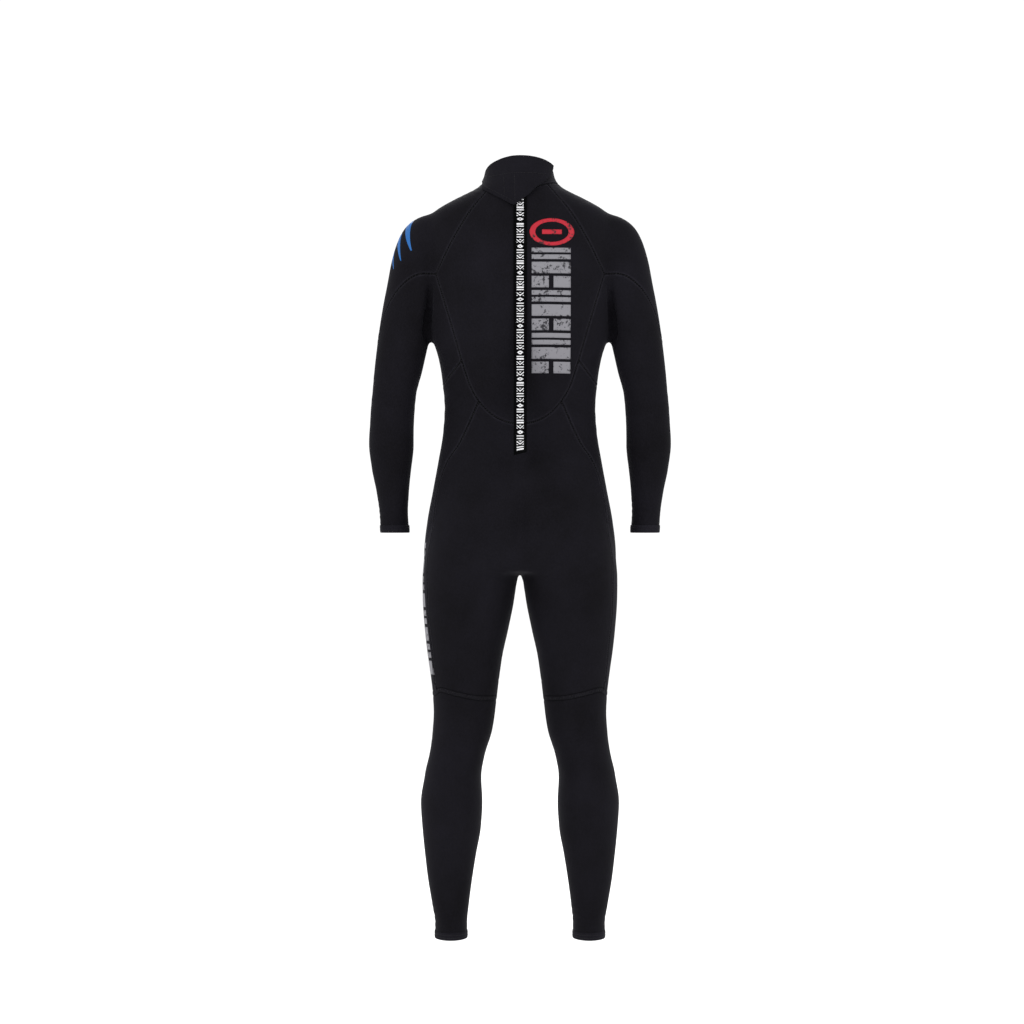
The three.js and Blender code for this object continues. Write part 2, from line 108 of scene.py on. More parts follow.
# ---- Body measurements ----
# Millimetres: z, x and y of the middle, half width, depth to the front and to the back, and how square the
# section is.
TRUNK = [
    [70, 0, -8, 63, 58, 70, 2.1],
    [50, 0, -5, 64, 59, 76, 2.1],
    [28, 0, -1, 67, 61, 81, 2.1],
    [10, 0, 3, 75, 66, 83, 2.1],
    [0, 0, 5, 87, 70, 84, 2.1],
    [-12, 0, 6, 111, 76, 87, 2.15],
    [-27, 0, 6, 141, 82, 91, 2.2],
    [-45, 0, 5, 170, 90, 96, 2.3],
    [-70, 0, 4, 186, 101, 102, 2.4],
    [-110, 0, 2, 188, 112, 111, 2.5],
    [-160, 0, 0, 185, 121, 117, 2.6],
    [-220, 0, 0, 180, 125, 117, 2.6],
    [-285, 0, 0, 173, 121, 111, 2.5],
    [-330, 0, 0, 160, 116, 102, 2.45],
    [-370, 0, 0, 153, 110, 92, 2.4],
    [-428, 0, 0, 148, 104, 73, 2.35],
    [-475, 0, -2, 151, 101, 67, 2.35],
    [-530, 0, -4, 160, 98, 82, 2.4],
    [-590, 0, -5, 171, 96, 108, 2.45],
    [-650, 0, -4, 182, 93, 129, 2.5],
    [-705, 0, -2, 188, 88, 127, 2.5],
    [-748, 0, 0, 189, 76, 105, 2.5],
]
LEG = [
    [-600, 92, 0, 76, 82, 90, 2.3],
    [-700, 97, 4, 88, 86, 116, 2.4],
    [-756, 98, 2, 93, 87, 104, 2.3],
    [-800, 101, 0, 90, 86, 93, 2.2],
    [-860, 105, 0, 82, 82, 83, 2.15],
    [-920, 108, 0, 72, 75, 73, 2.1],
    [-980, 108, 0, 64, 68, 63, 2.1],
    [-1021, 109, 0, 60, 63, 58, 2.1],
    [-1060, 113, 2, 58, 59, 57, 2.1],
    [-1110, 124, 6, 54, 54, 61, 2.1],
    [-1145, 131, 9, 55, 51, 67, 2.1],
    [-1200, 134, 12, 60, 50, 68, 2.1],
    [-1250, 134, 12, 57, 48, 61, 2.1],
    [-1300, 136, 10, 50, 43, 51, 2.05],
    [-1350, 137, 8, 43, 39, 44, 2],
    [-1404, 136, 8, 35, 37, 42, 2],
    [-1436, 135, 8, 31, 36, 42, 2],
    [-1465, 135, 8, 31, 37, 43, 2],
]
ARM = [
    [-50, 170, 4, 20, 24, 24, 2],
    [-62, 176, 4, 36, 38, 38, 2],
    [-80, 182, 4, 46, 47, 48, 2],
    [-110, 189, 5, 52, 54, 56, 2.05],
    [-155, 199, 6, 55, 57, 60, 2.1],
    [-205, 209, 6, 55, 57, 60, 2.1],
    [-255, 220, 6, 53, 54, 58, 2.1],
    [-305, 230, 6, 50, 51, 54, 2.05],
    [-357, 239, 5, 47, 47, 49, 2],
    [-404, 247, 4, 43, 45, 47, 2],
    [-452, 251, -1, 43, 46, 45, 2],
    [-499, 253, -7, 44, 44, 42, 2],
    [-546, 253, -15, 39, 39, 37, 2],
    [-593, 251, -23, 32, 34, 32, 2],
    [-640, 249, -29, 28, 31, 29, 2],
    [-672, 247, -33, 28, 31, 29, 2],
]
# The collar's seam is where this funnel passes through the skin.
FUNNEL = [
    [102, 0, 0, 132, 178, 162, 2],
    [-62, 0, 0, 33, 81, 63, 2],
]

# ---- Seams, as points of x and z seen from behind, on the wearer's left, in millimetres ----
ARMPIT = [163, -171]
FLANK = [113, -339]
HIP = [80, -417]
RAGLAN = [[40, 20], [65, -12], [91, -44], [111, -74], [134, -114], [147, -140], ARMPIT]
BACK_SIDE = [ARMPIT, [152, -207], [132, -273], FLANK]
BACK_FOOT = [FLANK, [97, -387], HIP, [57, -441], [30, -456], [-1, -462]]
SHOULDER = [ARMPIT, [188, -170], [210, -177], [237, -200], [259, -235], [273, -276], [292, -340]]
FLANK_SEAM = [FLANK, [147, -380], [187, -428]]
CHEST_FOOT = [FLANK, [92, -354], [50, -368], [-1, -372]]
SIDE = [
    HIP, [115, -493], [141, -532], [156, -573], [164, -615], [170, -670], [179, -723],
    [180, -780], [178, -843], [171, -903], [166, -970], [164, -984],
]
KNEE_RISE = [[0, -8], [26, -8], [47, -8], [84, -6], [124, 2], [155, 9], [168, 0], [200, -6]]
FLAP = [
    [72, 90], [72, -9], [12, -44], [-15, -23], [-29, -9],
    [-43, 2], [-51, 11], [-56, 25], [-59, 42], [-60, 90],
]
PATCH = [[-24, 42], [-24, 22], [-25, 6], [-37, 8], [-50, 14], [-53, 28], [-54, 42], [-40, 43], [-24, 42]]
BETWEEN_ARM_AND_BODY = [[187, -428], [180, -480], [184, -560], [200, -672], [205, -760]]


# ---- Helpers ----

def section(rows, z):
    """One measurement row at height z: a cubic through the rows that doesn't overshoot them."""
    if z >= rows[0][0]:
        return rows[0][1:]
    if z <= rows[-1][0]:
        return rows[-1][1:]
    after = next(i for i, row in enumerate(rows) if row[0] <= z)
    a, b = rows[after - 1], rows[after]
    span = b[0] - a[0]
    t = (z - a[0]) / span

    def slope(i, k):
        return (rows[i][k] - rows[i - 1][k]) / (rows[i][0] - rows[i - 1][0])

    def tangent(i, k):
        if i == 0 or i == len(rows) - 1:
            return slope(max(i, 1), k)
        before, ahead = slope(i, k), slope(i + 1, k)
        return 0 if before * ahead <= 0 else 2 * before * ahead / (before + ahead)

    return [
        (2 * t**3 - 3 * t**2 + 1) * a[k]
        + (t**3 - 2 * t**2 + t) * span * tangent(after - 1, k)
        + (3 * t**2 - 2 * t**3) * b[k]
        + (t**3 - t**2) * span * tangent(after, k)
        for k in range(1, 7)
    ]


def zip_arc(z):
    """The back's depth along the arc that the zip lies on."""
    return zip_centre.y + math.sqrt(zip_radius**2 - (z - zip_centre.z) ** 2)


def smooth(t):
    """From 0 to 1 with no corner at either end."""
    t = min(max(t, 0), 1)
    return t * t * (3 - 2 * t)


def loft(rows, sides, levels, below=0.0, on_zip=False, side=1):
    """A closed tube through the measurement rows: a cylinder cut into levels, each given its section."""
    bm = bmesh.new()
    bmesh.ops.create_cone(bm, cap_ends=True, segments=sides, radius1=1, radius2=1, depth=1)
    upright = [e for e in bm.edges if abs(e.verts[0].co.z - e.verts[1].co.z) > 0.5]
    bmesh.ops.subdivide_edges(bm, edges=upright, cuts=levels)
    top, bottom = rows[0][0] * MM, rows[-1][0] * MM - below
    for v in bm.verts:
        z = bottom + (top - bottom) * (v.co.z + 0.5)
        x, y, half, front, back, square = section(rows, z / MM)
        turn = math.atan2(v.co.y, v.co.x)
        across = math.copysign(abs(math.cos(turn)) ** (2 / square), math.cos(turn))
        deep = math.copysign(abs(math.sin(turn)) ** (2 / square), math.sin(turn))
        if on_zip and z > zip_bottom - 35 * MM:
            back += (zip_arc(z) / MM - y - back) * smooth((z - zip_bottom + 35 * MM) / (60 * MM))
        depth = back if deep > 0 else front
        v.co = Vector((side * (x + half * across) * MM, (y + depth * deep) * MM, z))
    if side < 0:
        bmesh.ops.reverse_faces(bm, faces=bm.faces[:])
    return bm


def new_object(name, bm, *finishes):
    """A smooth-shaded object made from a bmesh, with its materials."""
    mesh = bpy.data.meshes.new(name)
    bm.to_mesh(mesh)
    bm.free()
    mesh.shade_smooth()
    obj = bpy.data.objects.new(name, mesh)
    bpy.context.scene.collection.objects.link(obj)
    for finish in finishes:
        mesh.materials.append(finish)
    return obj


def thicken(obj, thickness):
    """Gives a sheet its thickness, behind its faces."""
    wall = obj.modifiers.new("thickness", "SOLIDIFY")
    wall.thickness = thickness
    wall.offset = -1


def round_edges(obj, width, segments, degrees):
    """Rounds every edge that is sharper than this angle."""
    rounded = obj.modifiers.new("edges", "BEVEL")
    rounded.width = width
    rounded.segments = segments
    rounded.limit_method = "ANGLE"
    rounded.angle_limit = math.radians(degrees)


def fit(obj, body, slot, *nodes):
    """The body that a piece follows, the finish's slot, which is not used, and the solids that it stands for.
    """
    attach(obj, body)
    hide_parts(*nodes)


def joined(parts):
    """Several bmeshes as one."""
    whole = bmesh.new()
    for part in parts:
        mesh = bpy.data.meshes.new("part")
        part.to_mesh(mesh)
        part.free()
        whole.from_mesh(mesh)
        bpy.data.meshes.remove(mesh)
    return whole


def points_of(mesh):
    co = np.zeros(len(mesh.vertices) * 3)
    mesh.vertices.foreach_get("co", co)
    return co.reshape(-1, 3)


def normals_of(mesh):
    n = np.zeros(len(mesh.vertices) * 3, np.float32)
    mesh.vertex_normals.foreach_get("vector", n)
    return n.reshape(-1, 3).astype(float)


def relax(mesh, rounds, strength=0.5, where=None):
    """Evens out a mesh without shrinking it, or only where the weights say."""
    co = points_of(mesh)
    edges = np.zeros(len(mesh.edges) * 2, np.int32)
    mesh.edges.foreach_get("vertices", edges)
    a, b = edges.reshape(-1, 2).T
    count = np.bincount(np.concatenate([a, b]), minlength=len(co))[:, None]
    for turn in range(2 * rounds):
        total = np.zeros_like(co)
        for k in range(3):
            total[:, k] = np.bincount(a, co[b, k], len(co)) + np.bincount(b, co[a, k], len(co))
        step = (total / count - co) * (strength if turn % 2 == 0 or where is not None else -strength * 1.04)
        co += step if where is None else step * where[:, None]
    mesh.vertices.foreach_set("co", co.ravel())
    mesh.update()


def curve(points, pieces=6):
    """A smooth line through points of two numbers, in metres."""
    p = np.array(points, float) * MM
    p = np.concatenate([[2 * p[0] - p[1]], p, [2 * p[-1] - p[-2]]])
    line = []
    for i in range(1, len(p) - 2):
        for t in np.arange(pieces) / pieces:
            a, b, c, d = p[i - 1 : i + 3]
            bent = (2 * a - 5 * b + 4 * c - d) * t**2
            line.append(0.5 * (2 * b + (c - a) * t + bent + (3 * b - a - 3 * c + d) * t**3))
    return np.array(line + [p[-2]])


def straight(points):
    return np.array(points, float) * MM


def inside(co, outline):
    """How far each point lies outside a closed outline of |x| and z, and below zero inside it."""
    p = np.stack([np.abs(co[:, 0]), co[:, 2]], 1)
    best = np.full(len(p), 1e9)
    within = np.zeros(len(p), bool)
    for a, b in zip(outline, np.roll(outline, -1, axis=0)):
        d = b - a
        t = np.clip((p - a) @ d / max(d @ d, 1e-12), 0, 1)
        best = np.minimum(best, np.linalg.norm(p - a - t[:, None] * d, axis=1))
        if a[1] != b[1]:
            crosses = (a[1] > p[:, 1]) != (b[1] > p[:, 1])
            within ^= crosses & (p[:, 0] < a[0] + (p[:, 1] - a[1]) * d[0] / d[1])
    return np.where(within, -best, best)


def bump(co, centre, reach):
    """A smooth hill of height one at a point, in millimetres, and at its mirror image."""
    p = co / MM
    c, r = np.array(centre, float), np.array(reach, float)
    left = np.exp(-((((p - c) / r) ** 2).sum(1)))
    c[0] = -c[0]
    return left + np.exp(-((((p - c) / r) ** 2).sum(1)))


# ---- The wearer's form ----

def body_form():
    """The outer surface of the whole suit as one even mesh."""
    spare = 30 * MM  # the limbs run on past their cut ends, which are trimmed later
    parts = [loft(TRUNK, 96, 120, on_zip=True)]
    for side in (1, -1):
        parts.append(loft(LEG, 64, 130, below=spare, side=side))
        parts.append(loft(ARM, 56, 100, below=spare, side=side))
    rough = new_object("form", joined(parts))
    remesh = rough.modifiers.new("even", "REMESH")
    remesh.mode = "VOXEL"
    remesh.voxel_size = voxel
    mesh = bpy.data.meshes.new_from_object(rough.evaluated_get(bpy.context.evaluated_depsgraph_get()))
    bpy.data.objects.remove(rough)
    relax(mesh, 4)
    co = points_of(mesh)
    relax(mesh, 22, where=np.clip(2 * bump(co, (0, 0, -752), (62, 150, 34)), 0, 1))
    relax(mesh, 14, where=np.clip(1.6 * bump(co, (180, 0, -82), (42, 80, 60)), 0, 1))
    relax(mesh, 5, where=np.clip(bump(co, (168, 10, -275), (35, 70, 45)), 0, 1))
    return mesh


# Muscles and hollows under the skin: centre and reach in millimetres, and height.
MUSCLES = [
    [(95, 100, -120), (38, 80, 55), 4.0],  # shoulder blades
    [(48, 100, -300), (24, 60, 110), 3.0],  # muscles beside the spine
    [(150, 60, -220), (30, 60, 70), 3.0],  # the broad back muscles
    [(78, 120, -625), (52, 60, 62), 7.0],  # seat
    [(80, 110, -720), (60, 60, 16), -4.0],  # the crease under the seat
    [(0, 125, -655), (16, 70, 60), -6.0],  # between its two sides
    [(88, 90, -830), (32, 60, 80), 2.5],  # hamstrings
    [(128, 70, -860), (26, 50, 90), 2.0],
    [(113, 55, -1060), (18, 40, 30), -3.5],  # the hollow of the knee
    [(88, 50, -1050), (12, 30, 45), 2.0],  # its two tendons
    [(142, 50, -1050), (12, 30, 45), 2.0],
    [(112, 75, -1185), (20, 40, 60), 3.0],  # the calf's two heads
    [(152, 72, -1170), (20, 40, 60), 2.0],
    [(115, -60, -1050), (26, 40, 28), 5.0],  # kneecap
    [(116, -60, -1095), (16, 40, 16), -2.0],
    [(215, 5, -120), (40, 60, 45), 3.0],  # shoulder caps
    [(226, 55, -225), (22, 40, 60), 3.0],  # backs of the upper arms
    [(228, -50, -250), (22, 40, 60), 3.0],  # fronts of the upper arms
    [(265, 0, -450), (20, 40, 60), 2.5],  # forearms
    [(72, -115, -165), (52, 60, 42), 7.0],  # chest
    [(0, -120, -180), (14, 60, 90), -3.0],
    [(70, -115, -225), (50, 60, 12), -2.0],
    [(35, -105, -400), (18, 60, 100), 2.0],  # stomach
    [(0, -105, -430), (9, 60, 120), -2.0],
    [(95, -85, -800), (40, 60, 110), 4.0],  # fronts of the thighs
    [(60, 20, -20), (22, 40, 18), 2.0],
]


def folds(co, centre, reach, tilt, pitch, height, phase=0.0):
    """Soft creases in a patch: waves down the suit, bent and broken so that no two are alike."""
    p = co / MM
    along = p[:, 2] + tilt * np.abs(p[:, 0])
    bend = 6 * np.sin(p[:, 0] / 31 + phase) + 5 * np.sin(p[:, 1] / 23 + 2 * phase) + 3 * np.sin(p[:, 0] / 11)
    wave = np.sin(2 * math.pi * (along + bend) / pitch + phase)
    broken = 0.55 + 0.45 * np.sin(p[:, 0] / 19 + p[:, 1] / 27 + along / 41 + 3 * phase)
    ridge = np.sign(wave) * np.abs(wave) ** 1.4
    return height * ridge * broken * np.clip(bump(co, centre, reach), 0, 1)


# Where the cloth creases: centre, reach, tilt, pitch and height in millimetres.
CREASES = [
    [(113, 60, -1062), (60, 55, 42), 0.10, 17, 0.9, 0.3],  # behind the knees
    [(113, -60, -1105), (60, 50, 30), -0.15, 19, 0.6, 1.1],  # under the kneecaps
    [(135, 20, -1425), (60, 70, 26), 0.12, 13, 0.8, 0.7],  # ankles
    [(247, -45, -400), (50, 50, 42), -0.25, 15, 1.0, 0.2],  # the bends of the arms
    [(247, 45, -412), (50, 50, 55), 0.35, 21, 0.7, 1.9],  # elbows
    [(249, -20, -630), (50, 60, 26), 0.2, 12, 0.7, 0.9],  # wrists
    [(165, 60, -215), (34, 70, 60), 0.9, 20, 1.1, 0.4],  # under the arms, behind
    [(160, -70, -190), (40, 70, 60), -0.9, 22, 1.2, 1.4],  # and in front
    [(120, 60, -440), (60, 70, 46), 0.22, 24, 1.0, 0.6],  # the small of the back
    [(110, -80, -430), (90, 60, 60), -0.15, 27, 0.9, 1.7],  # waist
    [(40, -60, -735), (50, 80, 34), 0.8, 18, 1.1, 0.5],  # groin
    [(60, 110, -722), (60, 70, 24), -0.35, 19, 0.8, 2.2],  # under the seat
    [(72, 40, -25), (40, 60, 26), -0.5, 15, 0.6, 0.8],  # base of the neck
]


def shape_form(mesh):
    """Muscles, the fold at each armpit and the creases, all held off the strip where the zip lies."""
    co, n = points_of(mesh), normals_of(mesh)
    lift = np.zeros(len(co))
    for centre, reach, height in MUSCLES:
        lift += height * bump(co, centre, reach)
    for centre, reach, tilt, pitch, height, phase in CREASES:
        lift += folds(co, centre, reach, tilt, pitch, height, phase)
    p = co / MM
    x = np.abs(p[:, 0])
    fold_x = 172 + (p[:, 2] + 185) * -0.1
    down = np.clip((-185 - p[:, 2]) / 60, 0, 1) * np.clip((p[:, 2] + 305) / 25, 0, 1)
    lift -= 15 * down * np.exp(-(((x - fold_x) / 6) ** 2)) * (np.abs(p[:, 1]) > 12)
    near_zip = (p[:, 1] > 20) & (p[:, 2] > zip_bottom / MM - 25)
    quiet = np.clip((x - 26) / 22, 0, 1)
    lift *= np.where(near_zip, quiet * quiet * (3 - 2 * quiet), 1)
    co += n * lift[:, None] * MM
    mesh.vertices.foreach_set("co", co.ravel())
    mesh.update()


# ---- Cutting the form into panels ----

# "skin" ends as the front panel, and "knee" is what is left in front of the lower leg.
LABELS = [
    "waste", "skin", "collar", "shoulder", "sleeve", "knee", "calf",
    "shin", "back", "back_right", "chest", "seat", "forearm",
]


def score(bm, faces, field):
    """Cuts these faces where the field is zero, and returns the field at each of their corners."""
    verts = list({v for f in faces for v in f.verts})
    values = field(np.array([v.co for v in verts]))
    values[np.abs(values) < 0.06 * voxel] = 0
    value = dict(zip(verts, values))
    on_line = [v for v in verts if value[v] == 0]
    for e in list({e for f in faces for e in f.edges}):
        a, b = e.verts
        if value[a] * value[b] < 0:
            share = value[a] / (value[a] - value[b])
            _, v = bmesh.utils.edge_split(e, a, share)
            value[v] = 0
            on_line.append(v)
    bmesh.ops.connect_verts(bm, verts=on_line)
    return value


def split(bm, part, field, new):
    """Cuts one part along the line where the field is zero, and names the side below zero."""
    layer = bm.faces.layers.int["panel"]
    old, fresh = LABELS.index(part), LABELS.index(new)
    value = score(bm, [f for f in bm.faces if f[layer] == old], field)
    for f in bm.faces:
        if f[layer] == old and sum(value.get(v, 0) for v in f.verts) < 0:
            f[layer] = fresh


def funnel_field(co):
    t = (co[:, 2] / MM - FUNNEL[0][0]) / (FUNNEL[1][0] - FUNNEL[0][0])
    half, front, back = (FUNNEL[0][k] + (FUNNEL[1][k] - FUNNEL[0][k]) * t for k in (3, 4, 5))
    depth = np.where(co[:, 1] > 0, back, front)
    size = np.hypot(co[:, 0] / MM / np.maximum(half, 1), co[:, 1] / MM / np.maximum(depth, 1))
    return np.where(t > 1, 1, (size - 1) * np.minimum(half, depth) * MM)


def knee_line(co):
    line = curve(KNEE_RISE)
    return co[:, 2] - knee_seam_z - np.interp(np.abs(co[:, 0]), line[:, 0], line[:, 1])


def above_collar(co):
    slope = (collar_back - collar_front) / (2 * collar_reach)
    return collar_back + (co[:, 1] - collar_reach) * slope - co[:, 2]


shoulder_outline = np.concatenate(
    [curve(RAGLAN), curve(SHOULDER), straight([[400, -340], [400, 150], [40, 150]])]
)
sleeve_outline = np.concatenate([
    curve(SHOULDER), straight([[400, -340], [400, -760]]), straight(BETWEEN_ARM_AND_BODY[::-1]),
    curve(FLANK_SEAM)[::-1], curve(BACK_SIDE)[::-1],
])
back_outline = np.concatenate(
    [curve(RAGLAN), curve(BACK_SIDE), curve(BACK_FOOT), straight([[-60, -462], [-60, 150], [40, 150]])]
)
chest_outline = np.concatenate(
    [curve(RAGLAN), curve(BACK_SIDE), curve(CHEST_FOOT), straight([[-60, -372], [-60, 150], [40, 150]])]
)
seat_outline = np.concatenate(
    [curve(SIDE), straight([[164, -1100], [-60, -1100], [-60, -462]]), curve(BACK_FOOT[2:])[::-1]]
)


def cut_panels(mesh):
    """The form as a bmesh whose faces are named by panel, trimmed at the neck, wrists, ankles and zip."""
    bm = bmesh.new()
    bm.from_mesh(mesh)
    # This layer holds painted shade and painted highlight for the cloth near each seam.
    bm.verts.layers.float.new("seam")
    layer = bm.faces.layers.int.new("panel")
    for f in bm.faces:
        f[layer] = LABELS.index("skin")
    split(bm, "skin", above_collar, "waste")
    split(bm, "skin", lambda co: np.maximum(co[:, 2] - wrist_z, 0.205 - np.abs(co[:, 0])), "waste")
    split(bm, "skin", lambda co: co[:, 2] - ankle_z, "waste")

    def slot(co):
        return np.maximum(np.maximum(np.abs(co[:, 0]) - slot_half, zip_bottom - co[:, 2]), -co[:, 1])

    split(bm, "skin", slot, "waste")
    bmesh.ops.delete(bm, geom=[f for f in bm.faces if f[layer] == 0], context="FACES")
    split(bm, "skin", funnel_field, "collar")
    split(bm, "skin", lambda co: inside(co, shoulder_outline), "shoulder")
    split(bm, "skin", lambda co: inside(co, sleeve_outline), "sleeve")
    split(bm, "skin", knee_line, "knee")
    split(bm, "knee", lambda co: inseam_y - co[:, 1], "calf")
    split(bm, "knee", lambda co: co[:, 2] - knee_fold_z, "shin")
    split(bm, "skin", lambda co: np.maximum(inside(co, back_outline), -co[:, 1]), "back")
    split(bm, "back", lambda co: co[:, 0], "back_right")
    split(bm, "skin", lambda co: np.maximum(inside(co, chest_outline), co[:, 1]), "chest")
    split(bm, "skin", lambda co: np.maximum(inside(co, seat_outline), inseam_y - co[:, 1]), "seat")
    return bm


# ---- Seams ----
groove_half = 2.3 * MM
groove_depth = 1.9 * MM
lip = 0.5 * MM
band_half = 4.2 * MM  # the flat seam above each knee is a band with a groove at each edge
stitch_pitch = 3.4 * MM


def tree_of(points):
    tree = KDTree(len(points))
    for i, p in enumerate(points):
        tree.insert(p, i)
    tree.balance()
    return tree


def seam_edges(bm):
    """The edges between two panels: those of the knee seams, and all the others."""
    layer = bm.faces.layers.int["panel"]
    upper = {LABELS.index("skin"), LABELS.index("seat")}
    knee, plain = [], []
    for e in bm.edges:
        found = {f[layer] for f in e.link_faces}
        if len(found) == 2:
            z = e.verts[0].co.z
            across_knee = found & upper and abs(z - knee_seam_z) < 20 * MM
            (knee if across_knee else plain).append(e)
    return knee, plain


def along(edges):
    """Points about a millimetre apart along edges."""
    found = []
    for e in edges:
        steps = max(1, math.ceil(e.calc_length() / MM))
        found += [e.verts[0].co.lerp(e.verts[1].co, (k + 0.5) / steps) for k in range(steps)]
    return tree_of(found)


def distance(tree, co):
    return np.array([tree.find(p)[2] for p in co])


def press_seams(bm):
    """Sinks a rounded groove along every seam, and a band between two grooves above each knee."""
    knee, plain = seam_edges(bm)
    at_knee = set(knee)
    stitches = []
    for e in knee + plain:
        a, b = e.verts
        stitches.append(((a.co + b.co) / 2, b.co - a.co, a.normal.copy(), e in at_knee))
    trees = {"knee": along(knee), "plain": along(plain)}
    rows = {
        "plain": [groove_half * 0.5, groove_half, 2 * groove_half],
        "knee": [band_half - 0.5 * MM, band_half + 0.4 * MM, band_half + 1.4 * MM],
    }
    for kind, tree in trees.items():
        for row in rows[kind]:
            near = {v for v in bm.verts if tree.find(v.co)[2] < row + 1.5 * voxel}
            faces = [f for f in bm.faces if any(v in near for v in f.verts)]
            score(bm, faces, lambda co: distance(tree, co) - row)
    bm.normal_update()
    verts = bm.verts[:]
    co = np.array([v.co for v in verts])
    plain_d, knee_d = (distance(trees[kind], co) for kind in ("plain", "knee"))
    sink = -groove_depth * np.clip(1 - plain_d / groove_half, 0, 1) ** 1.3
    sink += lip * np.exp(-(((plain_d - 1.7 * groove_half) / (0.7 * groove_half)) ** 2))
    past_band = knee_d - band_half - 0.4 * MM
    band = lip * (knee_d < band_half) - 1.1 * MM * np.exp(-((past_band / (0.7 * MM)) ** 2))
    sink = np.where(knee_d < band_half + 3 * MM, band, sink)
    # Painted shade and painted highlight: dark in the bottom of each groove and in the grooves at the knee
    # band's edges, paler on the lips beside each groove, and a little paler on the band.
    dark = np.exp(-((plain_d / (0.65 * groove_half)) ** 2))
    dark -= 0.9 * np.exp(-(((plain_d - 1.3 * groove_half) / (0.45 * groove_half)) ** 2))
    dark += 1.3 * np.exp(-((past_band / (0.8 * MM)) ** 2)) - 0.1 * (knee_d < band_half)
    shade = bm.verts.layers.float["seam"]
    for v, value in zip(verts, dark):
        v[shade] = min(max(value, -1), 1)
    moved = [v.normal * s for v, s in zip(verts, sink)]
    for v, step in zip(verts, moved):
        v.co += step
    return stitches


form = body_form()
shape_form(form)
form_tree = BVHTree.FromPolygons([v.co for v in form.vertices], [tuple(p.vertices) for p in form.polygons])
panels = cut_panels(form)
stitches = press_seams(panels)


# ---- Materials ----

def hex_colour(code):
    """An sRGB hex colour as the linear numbers that a node takes."""
    parts = [int(code[i : i + 2], 16) / 255 for i in (0, 2, 4)]
    return [c / 12.92 if c <= 0.04045 else ((c + 0.055) / 1.055) ** 2.4 for c in parts] + [1]


def add(tree, kind, settings=(), stops=(), **inputs):
    """One node, with its settings, any colour stops, and a value or another node's output for each input."""
    node = tree.nodes.new("ShaderNode" + kind)
    for key, value in dict(settings).items():
        setattr(node, key, value)
    for k, (position, colour) in enumerate(stops):
        node.color_ramp.elements[k].position = position
        node.color_ramp.elements[k].color = hex_colour(colour)
    for key, value in inputs.items():
        name = key.replace("_", " ")
        socket = node.inputs[int(name[5:])] if name.startswith("input") else node.inputs[name]
        if isinstance(value, bpy.types.NodeSocket):
            tree.links.new(value, socket)
        else:
            socket.default_value = value
    return node


def material(name):
    made = bpy.data.materials.new(name)
    made.use_nodes = True
    made.node_tree.nodes.clear()
    return made, made.node_tree


def close(tree, surface):
    add(tree, "OutputMaterial", Surface=surface.outputs[0])


WAVE = 0.314159  # metres between the bands of a wave texture of scale 1


def jersey(name, dark, light, wale, sheen, depth):
    """Nylon jersey bonded to foam: a dense matt knit whose fine ribs run down the suit."""
    made, tree = material(name)
    place = add(tree, "TexCoord").outputs["Object"]
    # Ribs 0.5 mm apart on the real cloth, drawn coarser so that they show.
    rows = add(tree, "TexWave", {"bands_direction": "Z"}, Vector=place, Scale=WAVE / (1.4 * wale),
               Distortion=1.2, Detail=2, Detail_Scale=3)
    stretched = add(tree, "Mapping", Vector=place, Scale=(1, 1, 0.45)).outputs[0]
    loops = add(tree, "TexNoise", Vector=stretched, Scale=0.6 / wale, Detail=2, Roughness=0.6)
    knit = add(tree, "Math", {"operation": "MULTIPLY_ADD"}, input0=rows.outputs["Fac"], input1=0.4,
               input2=loops.outputs["Fac"])
    # Where the foam is pulled thin or pressed the knit looks a little paler, in patches a hand wide.
    patches = add(tree, "TexNoise", Vector=place, Scale=9, Detail=3, Roughness=0.55).outputs["Fac"]
    flecks = add(tree, "TexNoise", Vector=place, Scale=320, Detail=1).outputs["Fac"]
    mixed = add(tree, "Math", {"operation": "MULTIPLY_ADD"}, input0=flecks, input1=0.45, input2=patches)
    cloth = add(tree, "ValToRGB", stops=((0.45, dark), (1.0, light)), Fac=mixed.outputs[0])
    # Painted shade and painted highlight: the bottom of each seam's groove is darkened towards black, and the
    # cloth at its lips is made paler.
    seam = add(tree, "Attribute", {"attribute_name": "seam"}).outputs["Fac"]
    lip_highlight = add(tree, "Math", {"operation": "MULTIPLY", "use_clamp": True}, input0=seam, input1=-0.32)
    pale = add(tree, "Mix", {"data_type": "RGBA"}, Factor=lip_highlight.outputs[0], input6=cloth.outputs[0],
               input7=hex_colour("302f37"))
    groove_shade = add(tree, "Math", {"operation": "MULTIPLY", "use_clamp": True}, input0=seam, input1=0.8)
    base = add(tree, "Mix", {"data_type": "RGBA"}, Factor=groove_shade.outputs[0], input6=pale.outputs[2],
               input7=hex_colour("030304"))
    rough = add(tree, "MapRange", Value=patches, To_Min=0.72, To_Max=0.88)
    relief = add(tree, "Bump", Height=knit.outputs[0], Strength=0.6, Distance=depth)
    close(tree, add(
        tree, "BsdfPrincipled", Base_Color=base.outputs[2], Normal=relief.outputs[0],
        Roughness=rough.outputs[0], IOR=1.45, Specular_IOR_Level=0.05, Sheen_Weight=sheen,
        Sheen_Roughness=0.45, Sheen_Tint=hex_colour("c4c2d4"),
    ))
    return made


